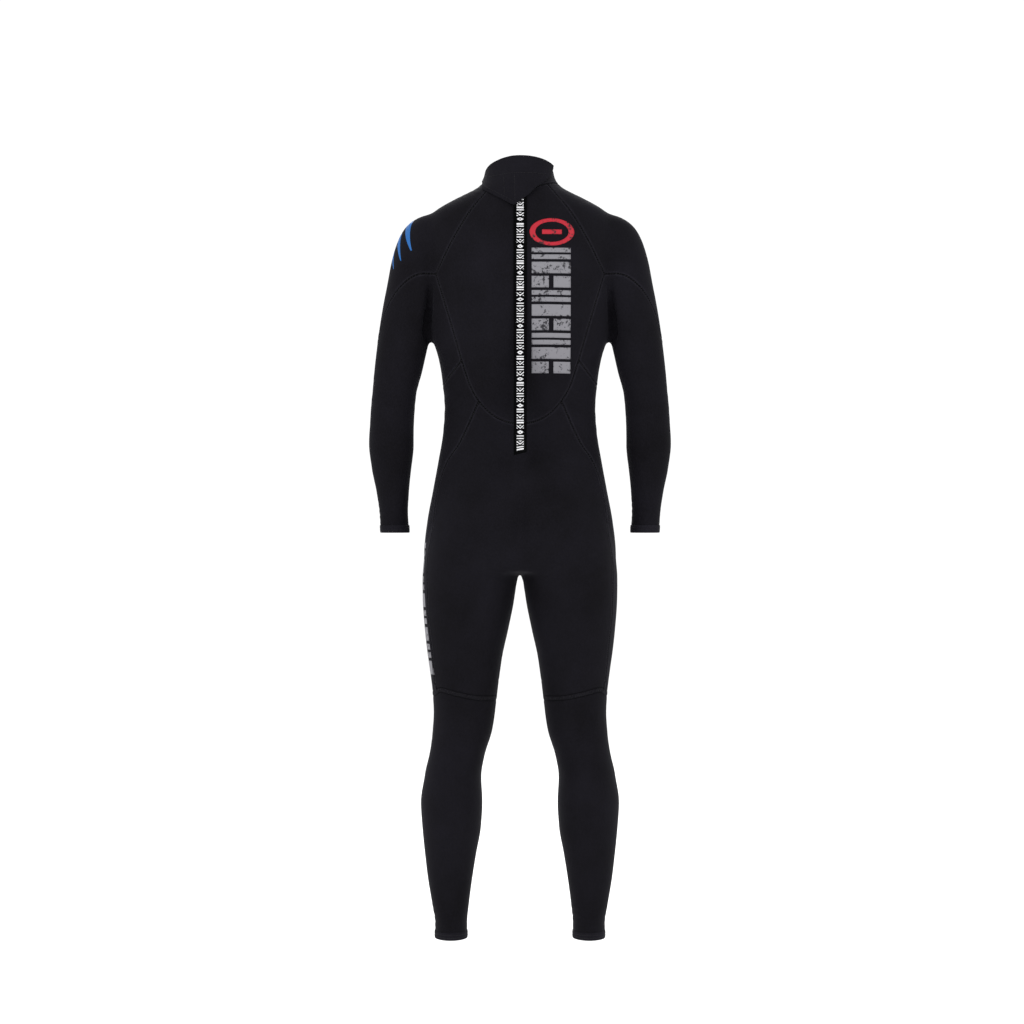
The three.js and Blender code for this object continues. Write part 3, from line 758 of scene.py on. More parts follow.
def print_film(name, colour, worn, wear):
    """Heat-pressed film: flat and slightly rubbery, cracked and rubbed through to the cloth in flecks."""
    made, tree = material(name)
    place = add(tree, "TexCoord").outputs["Object"]
    scratches = add(tree, "TexNoise", Vector=place, Scale=150, Detail=6, Roughness=0.7).outputs["Fac"]
    large = add(tree, "TexNoise", Vector=place, Scale=28, Detail=2).outputs["Fac"]
    rubbed = add(tree, "Math", {"operation": "MULTIPLY_ADD"}, input0=large, input1=0.5, input2=scratches)
    edge = ((wear, worn), (wear + 0.05, colour))
    film = add(tree, "ValToRGB", stops=edge, Fac=rubbed.outputs[0]).outputs[0]
    relief = add(tree, "Bump", Height=film, Strength=0.3, Distance=0.1 * MM)
    close(tree, add(tree, "BsdfPrincipled", Base_Color=film, Normal=relief.outputs[0], Roughness=0.55,
                    IOR=1.5, Specular_IOR_Level=0.3))
    return made


def woven(name, dark, light, pitch, roughness, specular, full_at=1.0):
    """Polyester webbing or tape: a tight twill whose ribs run across and along it, with a dull shine."""
    made, tree = material(name)
    place = add(tree, "TexCoord").outputs["UV"]
    across = add(tree, "TexWave", {"bands_direction": "X"}, Vector=place, Scale=WAVE / pitch, Distortion=0.6)
    down = add(tree, "TexWave", {"bands_direction": "DIAGONAL"}, Vector=place, Scale=WAVE / pitch,
               Distortion=0.4)
    weave = add(tree, "Math", {"operation": "MULTIPLY"}, input0=across.outputs["Fac"],
                input1=down.outputs["Fac"]).outputs[0]
    uneven = add(tree, "TexNoise", Vector=place, Scale=420, Detail=3).outputs["Fac"]
    level = add(tree, "Math", {"operation": "MULTIPLY_ADD"}, input0=weave, input1=0.5, input2=uneven)
    yarn = add(tree, "ValToRGB", stops=((0.3, dark), (full_at, light)), Fac=level.outputs[0])
    relief = add(tree, "Bump", Height=weave, Strength=0.5, Distance=0.25 * MM)
    close(tree, add(tree, "BsdfPrincipled", Base_Color=yarn.outputs[0], Normal=relief.outputs[0],
                    Roughness=roughness, IOR=1.5, Specular_IOR_Level=specular))
    return made


def pile(name, dark, light, grain):
    """Hook-and-loop tape: short nylon pile that eats the light."""
    made, tree = material(name)
    place = add(tree, "TexCoord").outputs["Object"]
    tufts = add(tree, "TexVoronoi", Vector=place, Scale=1 / grain).outputs["Distance"]
    fuzz = add(tree, "TexNoise", Vector=place, Scale=3 / grain, Detail=3).outputs["Fac"]
    nap = add(tree, "ValToRGB", stops=((0, dark), (1, light)), Fac=fuzz)
    relief = add(tree, "Bump", Height=tufts, Strength=0.9, Distance=0.6 * MM)
    close(tree, add(tree, "BsdfPrincipled", Base_Color=nap.outputs[0], Normal=relief.outputs[0],
                    Roughness=0.95, Specular_IOR_Level=0.1, Sheen_Weight=0.2))
    return made


def moulded(name, dark, light, roughness):
    """Injection-moulded acetal: smooth and slightly waxy, with a fine uneven grain."""
    made, tree = material(name)
    place = add(tree, "TexCoord").outputs["Object"]
    grain = add(tree, "TexNoise", Vector=place, Scale=900, Detail=2).outputs["Fac"]
    tone = add(tree, "ValToRGB", stops=((0, dark), (1, light)), Fac=grain)
    relief = add(tree, "Bump", Height=grain, Strength=0.15, Distance=0.1 * MM)
    close(tree, add(tree, "BsdfPrincipled", Base_Color=tone.outputs[0], Normal=relief.outputs[0],
                    Roughness=roughness, IOR=1.48))
    return made


def plated(name, dark, light):
    """Die-cast zinc with a black nickel plate: satin, with fine tumbling marks."""
    made, tree = material(name)
    place = add(tree, "TexCoord").outputs["Object"]
    marks = add(tree, "TexNoise", Vector=place, Scale=700, Detail=4, Roughness=0.7).outputs["Fac"]
    tone = add(tree, "ValToRGB", stops=((0, dark), (1, light)), Fac=marks)
    rough = add(tree, "MapRange", Value=marks, To_Min=0.25, To_Max=0.45)
    close(tree, add(tree, "BsdfPrincipled", Base_Color=tone.outputs[0], Roughness=rough.outputs[0],
                    Metallic=1))
    return made


body_jersey = jersey("nylon_jersey_neoprene", "0a090c", "131217", 1.2 * MM, 0.03, 0.35 * MM)
collar_jersey = jersey("fine_jersey_neoprene", "0c0b0f", "141318", 0.9 * MM, 0.02, 0.2 * MM)
hem_jersey = jersey("hem_tape_jersey", "0f0e12", "1b1a20", 0.8 * MM, 0.04, 0.25 * MM)
webbing = woven("polyester_webbing", "010101", "070708", 1.1 * MM, 0.85, 0.02)
webbing_print = woven("printed_webbing", "a2a2a4", "d8d8da", 1.1 * MM, 0.6, 0.2, full_at=0.75)
tape_weave = woven("zip_tape_weave", "08080a", "17171b", 1.0 * MM, 0.7, 0.1)
loop_pile = pile("loop_pile", "070708", "17171a", 1.2 * MM)
hook_pile = pile("hook_pile", "060607", "131316", 1.0 * MM)
tooth_plastic = moulded("acetal_plastic", "0c0c0d", "1b1b1d", 0.38)
slider_metal = plated("black_nickel", "1e1e20", "55565a")
thread = moulded("polyester_thread", "060607", "131216", 0.85)
grey_film = print_film("grey_heat_pressed_film", "6f6e73", "1c1b20", 0.64)
red_film = print_film("red_heat_pressed_film", "98091f", "2c060c", 0.64)
blue_film = print_film("blue_heat_pressed_film", "075292", "0a2440", 0.52)


# ---- Panels ----
def both(*nodes):
    """The solids of the left and the right limb."""
    return {side: [f"{n}_{side}" for n in nodes] for side in ("left", "right")}


# Each panel's name, the solids it stands for, its finish, the flat cloth it is cut from (width, length and
# area in metres) and, on a limb, the joint that it bends at. The areas are the CAD solids' volumes over their
# thickness.
PANELS = {
    "collar": ("neck_collar", ["collar"], "smooth_neoprene", (0.39, 0.11, 0.0171), None),
    "chest": ("chest_cloth", ["chest_panel"], "body_neoprene", (0.38, 0.38, 0.0913), None),
    "skin": ("front_cloth", ["front_panel"], "body_neoprene", (0.74, 0.83, 0.358), None),
    "seat": ("seat_cloth", ["seat_panel"], "body_neoprene", (0.46, 0.60, 0.2035), None),
    "back": ("back_cloth_left", ["back_panel_left"], "body_neoprene", (0.17, 0.48, 0.0516), None),
    "back_right": ("back_cloth_right", ["back_panel_right"], "body_neoprene", (0.17, 0.48, 0.0516), None),
    "shoulder": ("shoulder_cloth", both("shoulder_panel"), "body_neoprene", (0.33, 0.34, 0.0559), None),
    "sleeve": ("sleeve_cloth", both("sleeve"), "body_neoprene", (0.38, 0.34, 0.0707), None),
    "forearm": ("forearm_cloth", both("elbow_panel", "forearm_panel"), "body_neoprene",
                (0.30, 0.34, 0.0735), "elbow"),
    "knee": ("knee_pad_cloth", both("knee_pad"), "body_neoprene", (0.19, 0.16, 0.0258), "knee"),
    "shin": ("shin_cloth", both("shin_panel"), "body_neoprene", (0.17, 0.34, 0.0428), "knee"),
    "calf": ("calf_cloth", both("knee_hollow", "calf_panel"), "body_neoprene", (0.22, 0.49, 0.0769), "knee"),
}
BENDS = {
    "elbow": ("forearm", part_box("elbow_panel_left")[1].z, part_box("elbow_panel_left")[0].z),
    "knee": ("calf", knee_seam_z - 11 * MM, knee_fold_z),
}
SIDED = {"shoulder", "sleeve", "forearm", "knee", "shin", "calf"}


def bend(piece, side, joint):
    """A limb's piece follows the suit above the joint and the limb below it."""
    limb, top, bottom = BENDS[joint]
    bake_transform(piece, "suit", f"{side}_{limb}", start=(0, 0, top), end=(0, 0, bottom))


def crisp_edge(mesh):
    """Keeps the thickness at a piece's edge from tilting the shading of its face."""
    uses = np.zeros(len(mesh.edges), int)
    corners = np.zeros(len(mesh.loops), np.int32)
    mesh.loops.foreach_get("edge_index", corners)
    np.add.at(uses, corners, 1)
    mesh.attributes.new("sharp_edge", "BOOLEAN", "EDGE").data.foreach_set("value", uses == 1)


def make_panels(bm):
    """One object for each panel, given its thickness inwards."""
    # The sleeve is one piece of cloth, but only the part below this line follows the forearm.
    arm_line = BENDS["elbow"][1]
    split(bm, "sleeve", lambda co: np.maximum(co[:, 2] - arm_line, 0.175 - np.abs(co[:, 0])), "forearm")
    layer = bm.faces.layers.int["panel"]
    for f in bm.faces:
        f.material_index = 2 * f[layer] + (LABELS[f[layer]] in SIDED and f.calc_center_median().x < 0)
    whole = new_object("panels", bm)
    for _ in range(2 * len(LABELS)):
        whole.data.materials.append(None)
    bpy.context.view_layer.objects.active = whole
    whole.select_set(True)
    bpy.ops.object.mode_set(mode="EDIT")
    bpy.ops.mesh.select_all(action="SELECT")
    bpy.ops.mesh.separate(type="MATERIAL")
    bpy.ops.object.mode_set(mode="OBJECT")
    for obj in [o for o in bpy.context.scene.objects if o.name.startswith("panels")]:
        obj.select_set(False)
        label = LABELS[obj.data.attributes["panel"].data[0].value]
        name, nodes, slot, (width, length, area), joint = PANELS[label]
        side = "left" if obj.data.vertices[0].co.x > 0 else "right"
        if label in SIDED:
            name, nodes = f"{name}_{side}", nodes[side]
        obj.name = name
        obj.data.materials.clear()
        obj.data.materials.append(collar_jersey if label == "collar" else body_jersey)
        for p in obj.data.polygons:
            p.material_index = 0
        if label in ("sleeve", "forearm"):
            crisp_edge(obj.data)
        thicken(obj, neoprene)
        if joint:
            bend(obj, side, joint)
        else:
            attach(obj, "suit")
        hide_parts(*nodes)


make_panels(panels)


# ---- Laying things on the skin ----

def skin_from(start, direction):
    """Where a ray meets the suit's outer surface, and the surface's direction there."""
    place, normal, _, _ = form_tree.ray_cast(Vector(start), Vector(direction))
    if place is None:
        place, normal, _, _ = form_tree.find_nearest(Vector(start))
    if normal.dot(Vector(direction)) > 0:
        normal = -normal
    return place, normal


def behind(x, z, lift):
    """A point that stands a little way off the back, at this x and z."""
    place, normal = skin_from((x, 0.4, z), (0, -1, 0))
    return place + normal * lift


def strand(bm, middle, direction, normal, length, width, sides=5):
    """One stitch: a short rounded thread that lies on the cloth and dips in at both ends."""
    aside = direction.cross(normal).normalized()
    turn = Matrix((aside, direction.normalized(), normal)).transposed().to_4x4()
    lie = Matrix.Rotation(math.radians(-90), 4, "X")
    place = Matrix.Translation(middle) @ turn @ lie
    made = bmesh.ops.create_cone(
        bm, cap_ends=True, segments=sides, radius1=width / 2, radius2=width / 2, depth=length, matrix=place
    )
    around = {e for v in made["verts"] for e in v.link_edges}
    cut = bmesh.ops.subdivide_edges(bm, edges=[e for e in around if e.calc_length() > 0.9 * length], cuts=1)
    raised = [v for v in cut["geom_inner"] if isinstance(v, bmesh.types.BMVert)]
    bmesh.ops.translate(bm, verts=raised, vec=normal * width * 0.45)


def sew(name, places):
    """A row of stitches as one piece: the middle, direction, normal, length and width of each."""
    bm = bmesh.new()
    for place in places:
        strand(bm, *place)
    obj = new_object(name, bm, thread)
    return obj


def thinned(found, pitch):
    """The seam's edges again, with no two middles nearer each other than the pitch."""
    taken, kept = {}, []
    for item in sorted(found, key=lambda s: (round(s[0].z, 3), s[0].x, s[0].y)):
        cell = tuple(math.floor(c / pitch) for c in item[0])
        around = [
            taken.get((cell[0] + i, cell[1] + j, cell[2] + k), [])
            for i in (-1, 0, 1) for j in (-1, 0, 1) for k in (-1, 0, 1)
        ]
        if all((item[0] - other).length > pitch for near in around for other in near):
            taken.setdefault(cell, []).append(item[0])
            kept.append(item)
    return kept


def seam_threads():
    """Stitches that lie slantwise over every seam: one piece on the suit and one on each lower leg."""
    groups = {"suit": [], "left": [], "right": []}
    for middle, edge, normal, at_knee in thinned(stitches, stitch_pitch):
        ahead = edge if (edge.z, edge.x) < (0, 0) else -edge
        ahead = (ahead - normal * ahead.dot(normal)).normalized()
        across = (normal.cross(ahead) + ahead * 0.6).normalized()
        length = 2 * band_half if at_knee else 1.9 * groove_half
        sunk = 0.15 * MM if at_knee else -0.45 * MM
        low = middle.z < BENDS["knee"][1] + 4 * MM and not at_knee
        group = ("left" if middle.x > 0 else "right") if low else "suit"
        groups[group].append((middle + normal * sunk, across, normal, length, 0.55 * MM))
    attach(sew("seam_thread", groups["suit"]), "suit")
    for side in ("left", "right"):
        bend(sew(f"leg_seam_thread_{side}", groups[side]), side, "knee")


# ---- Hems ----
# The tape's section, in millimetres out from the skin and up from the cut end: it wraps under and up inside.
HEM = [
    (0.2, 13.6), (0.8, 14.2), (1.4, 13.5), (1.55, 10), (1.5, 6), (1.5, 1.2), (0.9, -0.5), (-0.8, -1.0),
    (-2.6, -0.8), (-3.9, 0.2), (-4.3, 2), (-4.3, 11), (-3.9, 12), (-3.4, 11), (-3.2, 2), (-2.4, 0.7),
    (-0.4, 0.6), (0.2, 1.4),
]


def ring_on(axis, z):
    """Points round a limb at one height, and their directions from its middle outwards."""
    found = []
    for k in range(hem_sides):
        turn = 2 * math.pi * k / hem_sides
        out = Vector((math.cos(turn), math.sin(turn), 0))
        place, _, _, _ = form_tree.ray_cast(Vector((axis[0], axis[1], z)), out)
        found.append((place, out))
    return found


def make_hem(name, node, rows, end_z, limb, side):
    """A band of folded tape round a cut end, with two rows of stitches."""
    x, y = (c * MM for c in section(rows, end_z / MM)[:2])
    x = x if side == "left" else -x
    ring = ring_on((x, y), end_z + 2 * MM)
    bm = bmesh.new()
    place, out = ring[0]
    start = [bm.verts.new(place + out * a * MM + Vector((0, 0, b * MM - 2 * MM))) for a, b in HEM]
    profile = [bm.edges.new((start[k], start[(k + 1) % len(start)])) for k in range(len(start))]
    bmesh.ops.spin(
        bm, geom=start + profile, cent=(x, y, end_z), axis=(0, 0, 1), angle=2 * math.pi, steps=hem_sides,
        use_merge=True,
    )
    first = (place - Vector((x, y, place.z))).length
    upper = ring_on((x, y), end_z + 12 * MM)
    for v in bm.verts:
        flat = Vector((v.co.x - x, v.co.y - y, 0))
        k = round((math.atan2(flat.y, flat.x) % (2 * math.pi)) / (2 * math.pi) * hem_sides) % hem_sides
        low, high = ((r[k][0] - Vector((x, y, r[k][0].z))).length for r in (ring, upper))
        share = min(max((v.co.z - end_z) / (12 * MM), 0), 1)
        v.co += flat.normalized() * (low + (high - low) * share - first)
    bmesh.ops.recalc_face_normals(bm, faces=bm.faces[:])
    fit(new_object(name, bm, hem_jersey), f"{side}_{limb}", "hem_tape", node)
    places = []
    for height in (4.5, 9.5):
        for (a, out_a), (b, out_b) in zip(ring, ring[1:] + ring[:1]):
            middle = (a + b) / 2 + out_a * 1.65 * MM
            middle.z = end_z + height * MM
            length = min((b - a).length * 0.78, 3 * MM)
            places.append((middle, b - a, ((out_a + out_b) / 2).normalized(), length, stitch_thick))
    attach(sew(f"{name}_thread", places), f"{side}_{limb}")


# ---- The zip ----
tooth_pitch = 4 * MM


def make_tape(side, sign):
    """A woven tape under the cloth, from the teeth to past the slot."""
    bm = bmesh.new()
    bmesh.ops.create_grid(bm, x_segments=8, y_segments=150, size=0.5)
    uv = bm.loops.layers.uv.new("weave")
    for f in bm.faces:
        for corner in f.loops:
            corner[uv].uv = (corner.vert.co.x * 14 * MM, corner.vert.co.y * (zip_top - zip_bottom))
    inner, outer = 4.5 * MM, 18 * MM
    for v in bm.verts:
        x = sign * (inner + (outer - inner) * (v.co.x + 0.5))
        z = zip_bottom + (zip_top - zip_bottom) * (v.co.y + 0.5)
        v.co = behind(x, z, -neoprene - 0.3 * MM)
    if sign > 0:
        bmesh.ops.reverse_faces(bm, faces=bm.faces[:])
    obj = new_object(f"zip_cloth_{side}", bm, tape_weave)
    thicken(obj, 1.2 * MM)
    fit(obj, "suit", "zip_tape", f"zip_tape_{side}")


def zip_frame(z, depth):
    """A place on the zip's arc, that deep under the skin, with the arc's outward direction."""
    angle = math.asin((z - zip_centre.z) / zip_radius)
    out = Vector((0, math.cos(angle), math.sin(angle)))
    return zip_centre + out * (zip_radius - depth), out


def make_teeth(side, sign):
    """Moulded teeth, each a block that grips the tape's edge, with a round nose that meets the other row."""
    bm = bmesh.new()
    for k in range(int((zip_top - zip_bottom - 14 * MM) / tooth_pitch)):
        z = zip_bottom + 7 * MM + (k + (0.25 if sign > 0 else 0.75)) * tooth_pitch
        place, out = zip_frame(z, 3.95 * MM)
        frame_here = Matrix((Vector((1, 0, 0)), out, Vector((1, 0, 0)).cross(out))).transposed().to_4x4()
        for reach, width, height, tall in ((2.6, 3.3, 2.7, 2.0), (1.05, 1.5, 2.0, 2.7)):
            size = Matrix.Diagonal((width * MM, height * MM, tall * MM, 1))
            at = Matrix.Translation(place + Vector((sign * reach * MM, 0, 0)))
            bmesh.ops.create_cube(bm, size=1, matrix=at @ frame_here @ size)
    bmesh.ops.bevel(
        bm, geom=bm.edges[:], offset=0.35 * MM, affect="EDGES", segments=1, profile=0.5, material=-1
    )
    obj = new_object(f"zip_row_{side}", bm, tooth_plastic)
    obj.data.shade_flat()
    fit(obj, "suit", "zip_teeth", f"zip_teeth_{side}")


def make_guard():
    """The flap of cloth inside the suit, behind the teeth, sewn in along the wearer's left."""
    bm = bmesh.new()
    bmesh.ops.create_grid(bm, x_segments=24, y_segments=120, size=0.5)
    low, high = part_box("zip_guard")
    top = high.z - 2 * MM
    for v in bm.verts:
        x = 31 * MM * 2 * v.co.x
        z = low.z + 2 * MM + (top - low.z - 2 * MM) * (v.co.y + 0.5)
        sewn = smooth((x - 20 * MM) / (9 * MM))
        ripple = 0.5 * MM * math.sin(z / (23 * MM)) * (1 - sewn)
        v.co = behind(x, z, -(9.3 - 5.6 * sewn) * MM + ripple)
    bmesh.ops.reverse_faces(bm, faces=bm.faces[:])
    obj = new_object("zip_guard_cloth", bm, collar_jersey)
    thicken(obj, 1.8 * MM)
    fit(obj, "suit", "smooth_neoprene", "zip_guard")


def finish_metal():
    """The slider, its puller and the stops keep their shapes, with every edge rounded."""
    finishes = {
        "zip_slider": slider_metal, "zip_puller": slider_metal,
        "zip_top_stop": tooth_plastic, "zip_bottom_stop": tooth_plastic,
    }
    for name, finish in finishes.items():
        obj = frame["nodes"][name]
        obj.data.materials.clear()
        obj.data.materials.append(finish)
        weld = obj.modifiers.new("weld", "WELD")
        weld.merge_threshold = 0.02 * MM
        round_edges(obj, 0.35 * MM, 2, 35)


# ---- The pull strap ----

def strap_line(top, bottom, step=1 * MM):
    """The middle of the strap: round the zip's arc to the back's fullest point, then straight down."""
    plumb = max(bottom, zip_centre.z)
    depth = zip_centre.y + zip_radius - strap_y
    count = round((top - plumb) / step)
    points = [zip_frame(top + (plumb - top) * k / count, depth)[0] for k in range(count + 1)]
    count = round((plumb - bottom) / step)
    return points + [Vector((0, strap_y, plumb + (bottom - plumb) * k / count)) for k in range(1, count + 1)]


def printed(across, down):
    """Where the strap's pale print lies, in millimetres: plain bars, chevrons and lozenges in a row."""
    half, tall, pitch = 6.3, 7.4, 10.2
    turn, place = divmod(down - 14, pitch)
    if abs(across) > half or down < 14 or place > tall:
        return False
    kind = int(turn) % 5
    if kind == 0:
        return 0.4 < abs(across) / half + abs(place - tall / 2) / (tall / 2) < 1.02
    if kind in (1, 3):
        return place % 4.8 < 2.2
    return (place + abs(across) * 0.8) % 5.2 < 2.2


def make_band(name, line, half, layer=0, end_slant=0.0):
    """A flat band of webbing along a line, with raised selvedges. Layer 1 lies on top of layer 0."""
    bm = bmesh.new()
    bmesh.ops.create_grid(bm, x_segments=26, y_segments=len(line) - 1, size=0.5)
    uv = bm.loops.layers.uv.new("weave")
    long = sum((b - a).length for a, b in zip(line, line[1:]))
    for f in bm.faces:
        for corner in f.loops:
            corner[uv].uv = (corner.vert.co.x * 2 * half, corner.vert.co.y * long)
        middle = f.calc_center_median()
        down = (0.5 - middle.y) * long / MM + (strap_top_z - line[0].z) / MM
        near_cut = end_slant and (0.5 + middle.y) * long < 6 * MM
        f.material_index = int(printed(middle.x * 2 * half / MM, down) and not near_cut)
    for v in bm.verts:
        k = round((0.5 - v.co.y) * (len(line) - 1))
        ahead = (line[min(k + 1, len(line) - 1)] - line[max(k - 1, 0)]).normalized()
        out = Vector((0, -ahead.z, ahead.y))
        if out.y < 0:
            out = -out
        across = 2 * v.co.x
        selvedge = 0.12 * MM if abs(across) > 0.88 else 0
        down = k / (len(line) - 1) * long
        wave = 0.5 * MM * math.sin(down / (60 * MM)) * across
        near_end = smooth(1 - (long - down) / (30 * MM)) if end_slant else 0
        drop = end_slant * near_end * across
        height = webbing_thick * (layer + 0.5) + selvedge + wave
        v.co = line[k] + Vector((half * across, 0, 0)) + out * height + ahead * drop
    bmesh.ops.reverse_faces(bm, faces=bm.faces[:])
    obj = new_object(name, bm, webbing, webbing_print)
    thicken(obj, webbing_thick)
    round_edges(obj, 0.3 * MM, 2, 50)
    return obj


def make_strap():
    """The strap from its loop on the puller, and the tab of loop pile at its end."""
    hinge_z = joint_at["strap_lift"].z
    drape_z = joint_at["strap_drape"].z
    free_z = strap_top_z - 72 * MM
    loop_line = strap_line(strap_top_z, free_z)
    band = make_band("strap_loop", loop_line, strap_half)
    bend_from, bend_to = (0, 0, hinge_z + 1 * MM), (0, 0, hinge_z - 12 * MM)
    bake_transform(band, "zip_puller", "strap_upper", start=bend_from, end=bend_to)
    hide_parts("strap_top")
    folded = [p for p in loop_line if p.z > hinge_z + 2 * MM]
    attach(make_band("strap_loop_fold", folded, strap_half, layer=1), "zip_puller")
    line = strap_line(free_z, strap_end_z)
    strap = make_band("pull_strap", line, strap_half, end_slant=3 * MM)
    bend_from, bend_to = (0, 0, drape_z + 25 * MM), (0, 0, drape_z - 25 * MM)
    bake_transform(strap, "strap_upper", "strap_lower", start=bend_from, end=bend_to)
    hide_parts("strap_upper", "strap_lower")
    low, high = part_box("strap_tab")
    bm = bmesh.new()
    bmesh.ops.create_grid(bm, x_segments=14, y_segments=22, size=0.5)
    for v in bm.verts:
        x, z = v.co.x * (high.x - low.x), low.z + (high.z - low.z) * (v.co.y + 0.5)
        v.co = Vector((x, high.y - 0.1 * MM, z))
    bmesh.ops.reverse_faces(bm, faces=bm.faces[:])
    tab = new_object("strap_tab_pile", bm, loop_pile)
    thicken(tab, 1.2 * MM)
    fit(tab, "strap_lower", "hook_and_loop", "strap_tab")
    along_x, out = Vector((1, 0, 0)), Vector((0, 1, 0))
    places = []
    for z in (low.z + 3 * MM, high.z - 2 * MM):
        for x in range(-9, 10, 3):
            middle = Vector((x * MM, strap_y + 0.85 * MM, z))
            places.append((middle, along_x, out, 2.2 * MM, stitch_thick))
    stitched = sew("strap_end_thread", places)
    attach(stitched, "strap_lower")


# ---- The collar's flap ----

def outline_sheet(outline, lift):
    """The part of the back's surface within an outline, raised by the height that lift gives at each x."""
    bm = bmesh.new()
    bm.from_mesh(form)
    low, high = outline.min(0) - 8 * MM, outline.max(0) + 8 * MM
    spare = [
        v for v in bm.verts
        if v.co.y < 0 or not low[0] < v.co.x < high[0] or not low[1] < v.co.z < high[1]
    ]
    bmesh.ops.delete(bm, geom=spare, context="VERTS")
    layer = bm.faces.layers.int.new("panel")
    for f in bm.faces:
        f[layer] = LABELS.index("skin")
    aside = np.array([0.5, 0, 0])  # the outline isn't mirrored, so all of it is moved clear of x = 0
    split(bm, "skin", lambda co: -inside(co + aside, outline + aside[:2]), "waste")
    split(bm, "skin", above_collar, "waste")
    bmesh.ops.delete(bm, geom=[f for f in bm.faces if f[layer] == 0], context="FACES")
    bm.normal_update()
    moved = [v.normal * lift(v.co.x) for v in bm.verts]
    for v, step in zip(bm.verts, moved):
        v.co += step
    return bm


def flap_lift(x):
    """The flap lies flush where it is sewn and stands over the hook-and-loop patches at its free end."""
    return (3.2 + 4.3 * (1 - smooth((x - 4 * MM) / (44 * MM)))) * MM


def patch(name, node, body, lift, thick, finish):
    """One half of the collar's hook-and-loop closure."""
    outline = curve(PATCH, 4)
    obj = new_object(name, outline_sheet(outline[:-1], lambda x: lift), finish)
    thicken(obj, thick)
    fit(obj, body, "hook_and_loop", node)


def make_flap():
    """The flap over the zip's top, sewn down on the wearer's left, with its hook-and-loop and stitches."""
    line = np.concatenate([straight([[72, 90]]), curve(FLAP[1:3], 8), curve(FLAP[2:], 8)[1:]])
    flap = new_object("collar_flap_cloth", outline_sheet(line, flap_lift), collar_jersey)
    thicken(flap, flap_thick)
    round_edges(flap, 0.7 * MM, 3, 50)
    hinge_x = joint_at["flap_peel"].x
    fold = {"start": (hinge_x + 9 * MM, 0, 0), "end": (hinge_x - 10 * MM, 0, 0)}
    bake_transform(flap, "suit", "collar_flap", **fold)
    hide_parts("flap_base", "collar_flap")
    patch("collar_loop_pile", "flap_loop_patch", "suit", 2.1 * MM, 1.7 * MM, loop_pile)
    patch("collar_hook_pile", "flap_hook_patch", "collar_flap", 4.6 * MM, 1.8 * MM, hook_pile)
    places = []

    def row(points):
        for (x0, z0), (x1, z1) in zip(points, points[1:]):
            count = max(1, round(math.hypot(x1 - x0, z1 - z0) / 3))
            for k in range(count):
                s, e = (Vector(((x0 + (x1 - x0) * q) * MM, 0, (z0 + (z1 - z0) * q) * MM))
                        for q in ((k + 0.15) / count, (k + 0.85) / count))
                a, b = (behind(p.x, p.z, flap_lift(p.x) + 0.05 * MM) for p in (s, e))
                _, normal = skin_from(((a.x + b.x) / 2, 0.4, (a.z + b.z) / 2), (0, -1, 0))
                places.append(((a + b) / 2, b - a, normal, (b - a).length, stitch_thick))

    row([(58, 18), (20, 20), (-20, 20), (-46, 19)])
    row([(30, 16), (30, -22)])
    row([(10, 16), (10, -34)])
    row([(66, -5), (14, -36)])
    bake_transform(sew("flap_thread", places), "suit", "collar_flap", **fold)


# ---- Prints ----

def plate(width, height, step=3 * MM, shear=0.0, taper=1.0):
    """A fine flat rectangle in X and Y, sheared and tapered towards its foot."""
    bm = bmesh.new()
    columns, rows = max(2, math.ceil(width / step)), max(2, math.ceil(height / step))
    bmesh.ops.create_grid(bm, x_segments=columns, y_segments=rows, size=0.5)
    for v in bm.verts:
        narrow = taper + (1 - taper) * (v.co.y + 0.5)
        v.co.x, v.co.y = v.co.x * width * narrow + shear * v.co.y * height, v.co.y * height
    return bm


def hoop(radius, width, sides=96, rings=4):
    """A flat ring in X and Y."""
    bm = bmesh.new()
    bmesh.ops.create_circle(bm, cap_ends=False, radius=radius - width, segments=sides)
    edge = bm.edges[:]
    for k in range(rings):
        grown = bmesh.ops.extrude_edge_only(bm, edges=edge)["geom"]
        verts = [v for v in grown if isinstance(v, bmesh.types.BMVert)]
        edge = [e for e in grown if isinstance(e, bmesh.types.BMEdge)]
        now = radius - width + width * k / rings
        bmesh.ops.scale(bm, verts=verts, vec=(1 + width / rings / now,) * 3)
    return bm


def press(name, shapes, origin, across, towards, finish, reach=500 * MM):
    """Flat shapes pressed on the cloth: each is a bmesh and its place across and up from the origin.

    They come from `reach` away, which is short where an arm hangs beside the cloth.
    """
    across, towards = Vector(across), Vector(towards)
    for bm, (u, w) in shapes:
        for v in bm.verts:
            flat = across * (v.co.x + u * MM) + Vector((0, 0, v.co.y + w * MM))
            place, normal = skin_from(Vector(origin) + flat - towards * reach, towards)
            v.co = place + normal * 0.22 * MM
    bm = joined([shape for shape, _ in shapes])
    bm.normal_update()
    if sum(f.normal.dot(towards) for f in bm.faces) > 0:
        bmesh.ops.reverse_faces(bm, faces=bm.faces[:])
    obj = new_object(name, bm, finish)
    thicken(obj, 0.15 * MM)
    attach(obj, "suit")


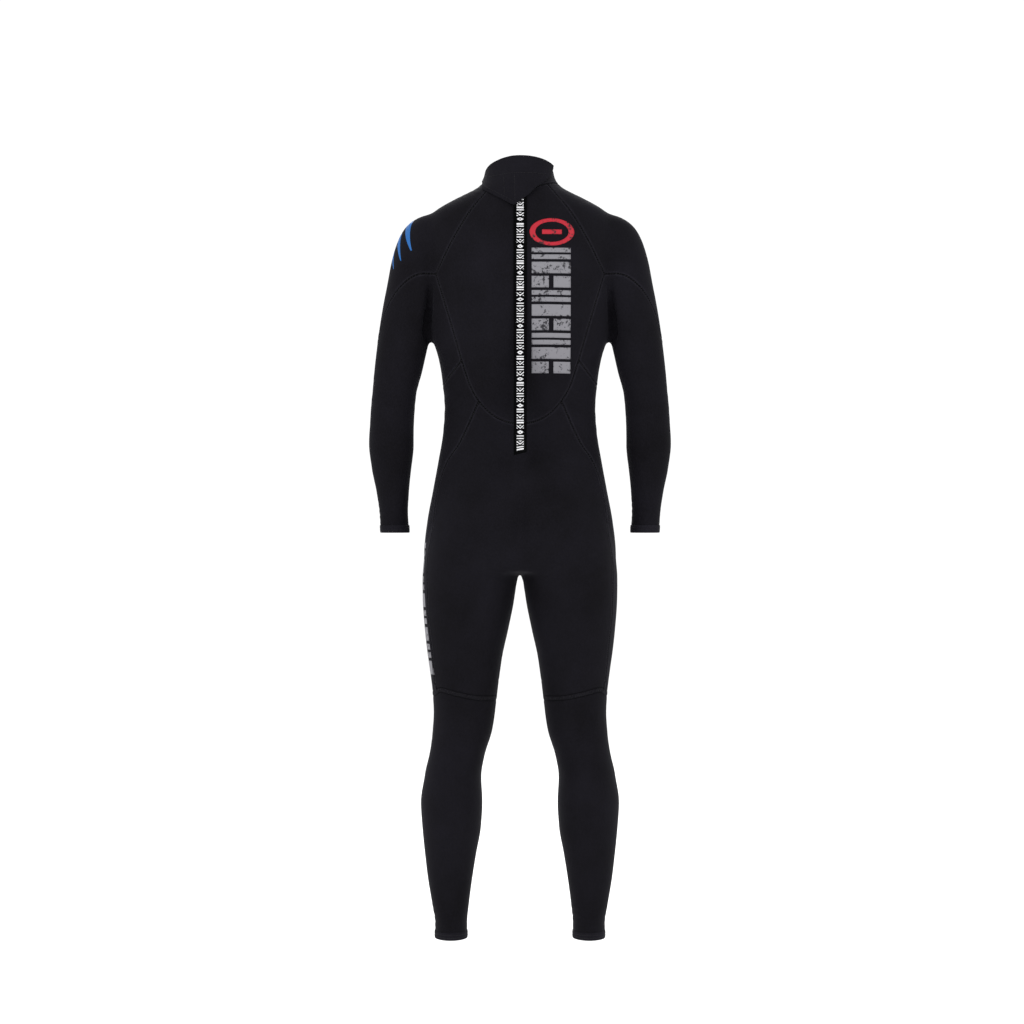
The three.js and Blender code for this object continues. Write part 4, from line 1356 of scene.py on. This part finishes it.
def make_prints():
    """Plain shapes in place of the suit's graphics, of the same size, place and colour."""
    from_behind = ((-1, 0, 0), (0, -1, 0))
    oval = hoop(43 * MM, 11 * MM)
    bmesh.ops.scale(oval, verts=oval.verts[:], vec=(1, 0.62, 1))
    press("oval_print", [(oval, (0, 0)), (plate(38 * MM, 9 * MM), (0, 0))],
          (-0.061, 0, -0.094), *from_behind, red_film)
    blocks = []
    for k in range(9):
        z = -12 - k * 27.2
        if k % 3 == 1:
            blocks.append((plate(75 * MM, 22 * MM), (0, z)))
        elif k % 3 == 2:
            blocks += [(plate(33 * MM, 22 * MM), (-21, z)), (plate(33 * MM, 22 * MM), (21, z))]
        else:
            blocks += [(plate(75 * MM, 9 * MM), (0, z + 6.5)), (plate(75 * MM, 9 * MM), (0, z - 6.5))]
    press("block_print", blocks, (-0.0595, 0, -0.124), *from_behind, grey_film)
    slant = Vector((0.62, 0.78, 0)).normalized()
    sideways = Vector((slant.y, -slant.x, 0))
    bars = [
        (plate(width * MM, length * MM, shear=0.52, taper=0.12), place)
        for width, length, place in ((21, 62, (-14, 16)), (18, 58, (5, -5)), (14, 48, (22, -25)))
    ]
    press("shoulder_print", bars, (0.205, 0.005, -0.11), sideways, -slant, blue_film)
    outward = Vector((0.99, 0.12, 0)).normalized()
    around = Vector((outward.y, -outward.x, 0))
    strips = []
    for k in range(8):
        z = -k * 33
        if k % 2:
            strips += [(plate(27 * MM, 27 * MM), (-16, z)), (plate(27 * MM, 27 * MM), (16, z))]
        else:
            strips += [(plate(59 * MM, 11 * MM), (0, z + 8)), (plate(59 * MM, 11 * MM), (0, z - 8))]
    press("thigh_print", strips, (0.1, -0.003, -0.705), around, -outward, grey_film, reach=105 * MM)


seam_threads()
for side, sign in (("left", 1), ("right", -1)):
    make_hem(f"wrist_band_{side}", f"wrist_hem_{side}", ARM, wrist_z, "forearm", side)
    make_hem(f"ankle_band_{side}", f"ankle_hem_{side}", LEG, ankle_z, "calf", side)
    make_tape(side, sign)
    make_teeth(side, sign)
make_guard()
finish_metal()
make_strap()
make_flap()
make_prints()


# ---- Stage ----
floor_z = -1563 * MM
camera_at = (0.0157, 4.8, -0.632)


def stage():
    """A pale floor, a white studio round it and three soft lights."""
    bm = bmesh.new()
    bmesh.ops.create_circle(bm, cap_ends=True, radius=30, segments=64)
    bmesh.ops.translate(bm, verts=bm.verts, vec=(0, 0, floor_z))
    made, tree = material("painted_floor")
    place = add(tree, "TexCoord").outputs["Object"]
    speckle = add(tree, "TexNoise", Vector=place, Scale=3).outputs["Fac"]
    paint = add(tree, "ValToRGB", stops=((0, "fbfbfb"), (1, "ffffff")), Fac=speckle)
    close(tree, add(tree, "BsdfPrincipled", Base_Color=paint.outputs[0], Roughness=0.8))
    new_object("studio_floor", bm, made)
    world = bpy.data.worlds.new("studio")
    bpy.context.scene.world = world
    world.use_nodes = True
    background = world.node_tree.nodes["Background"]
    background.inputs["Color"].default_value = (1, 1, 1, 1)
    background.inputs["Strength"].default_value = 1.06
    lights = [((2.6, 3.4, 1.6), 2.4, 90), ((-3.0, 3.0, 1.0), 2.4, 60), ((0.0, -3.6, 1.8), 3.0, 90)]
    for place, size, power in lights:
        lamp = bpy.data.lights.new("softbox", "AREA")
        lamp.shape = "SQUARE"
        lamp.size = size
        lamp.energy = power
        obj = bpy.data.objects.new("softbox", lamp)
        obj.location = place
        aim = Vector((0, 0, -0.6)) - Vector(place)
        obj.rotation_euler = aim.to_track_quat("-Z", "Y").to_euler()
        bpy.context.scene.collection.objects.link(obj)
    camera = bpy.data.cameras.new("camera")
    camera.lens = 85.9
    camera.sensor_width = 36
    seen = bpy.data.objects.new("camera", camera)
    seen.location = camera_at
    seen.rotation_euler = (math.radians(90), 0, math.radians(180))
    bpy.context.scene.collection.objects.link(seen)
    bpy.context.scene.camera = seen
    bpy.context.scene.view_settings.view_transform = "Standard"


stage()
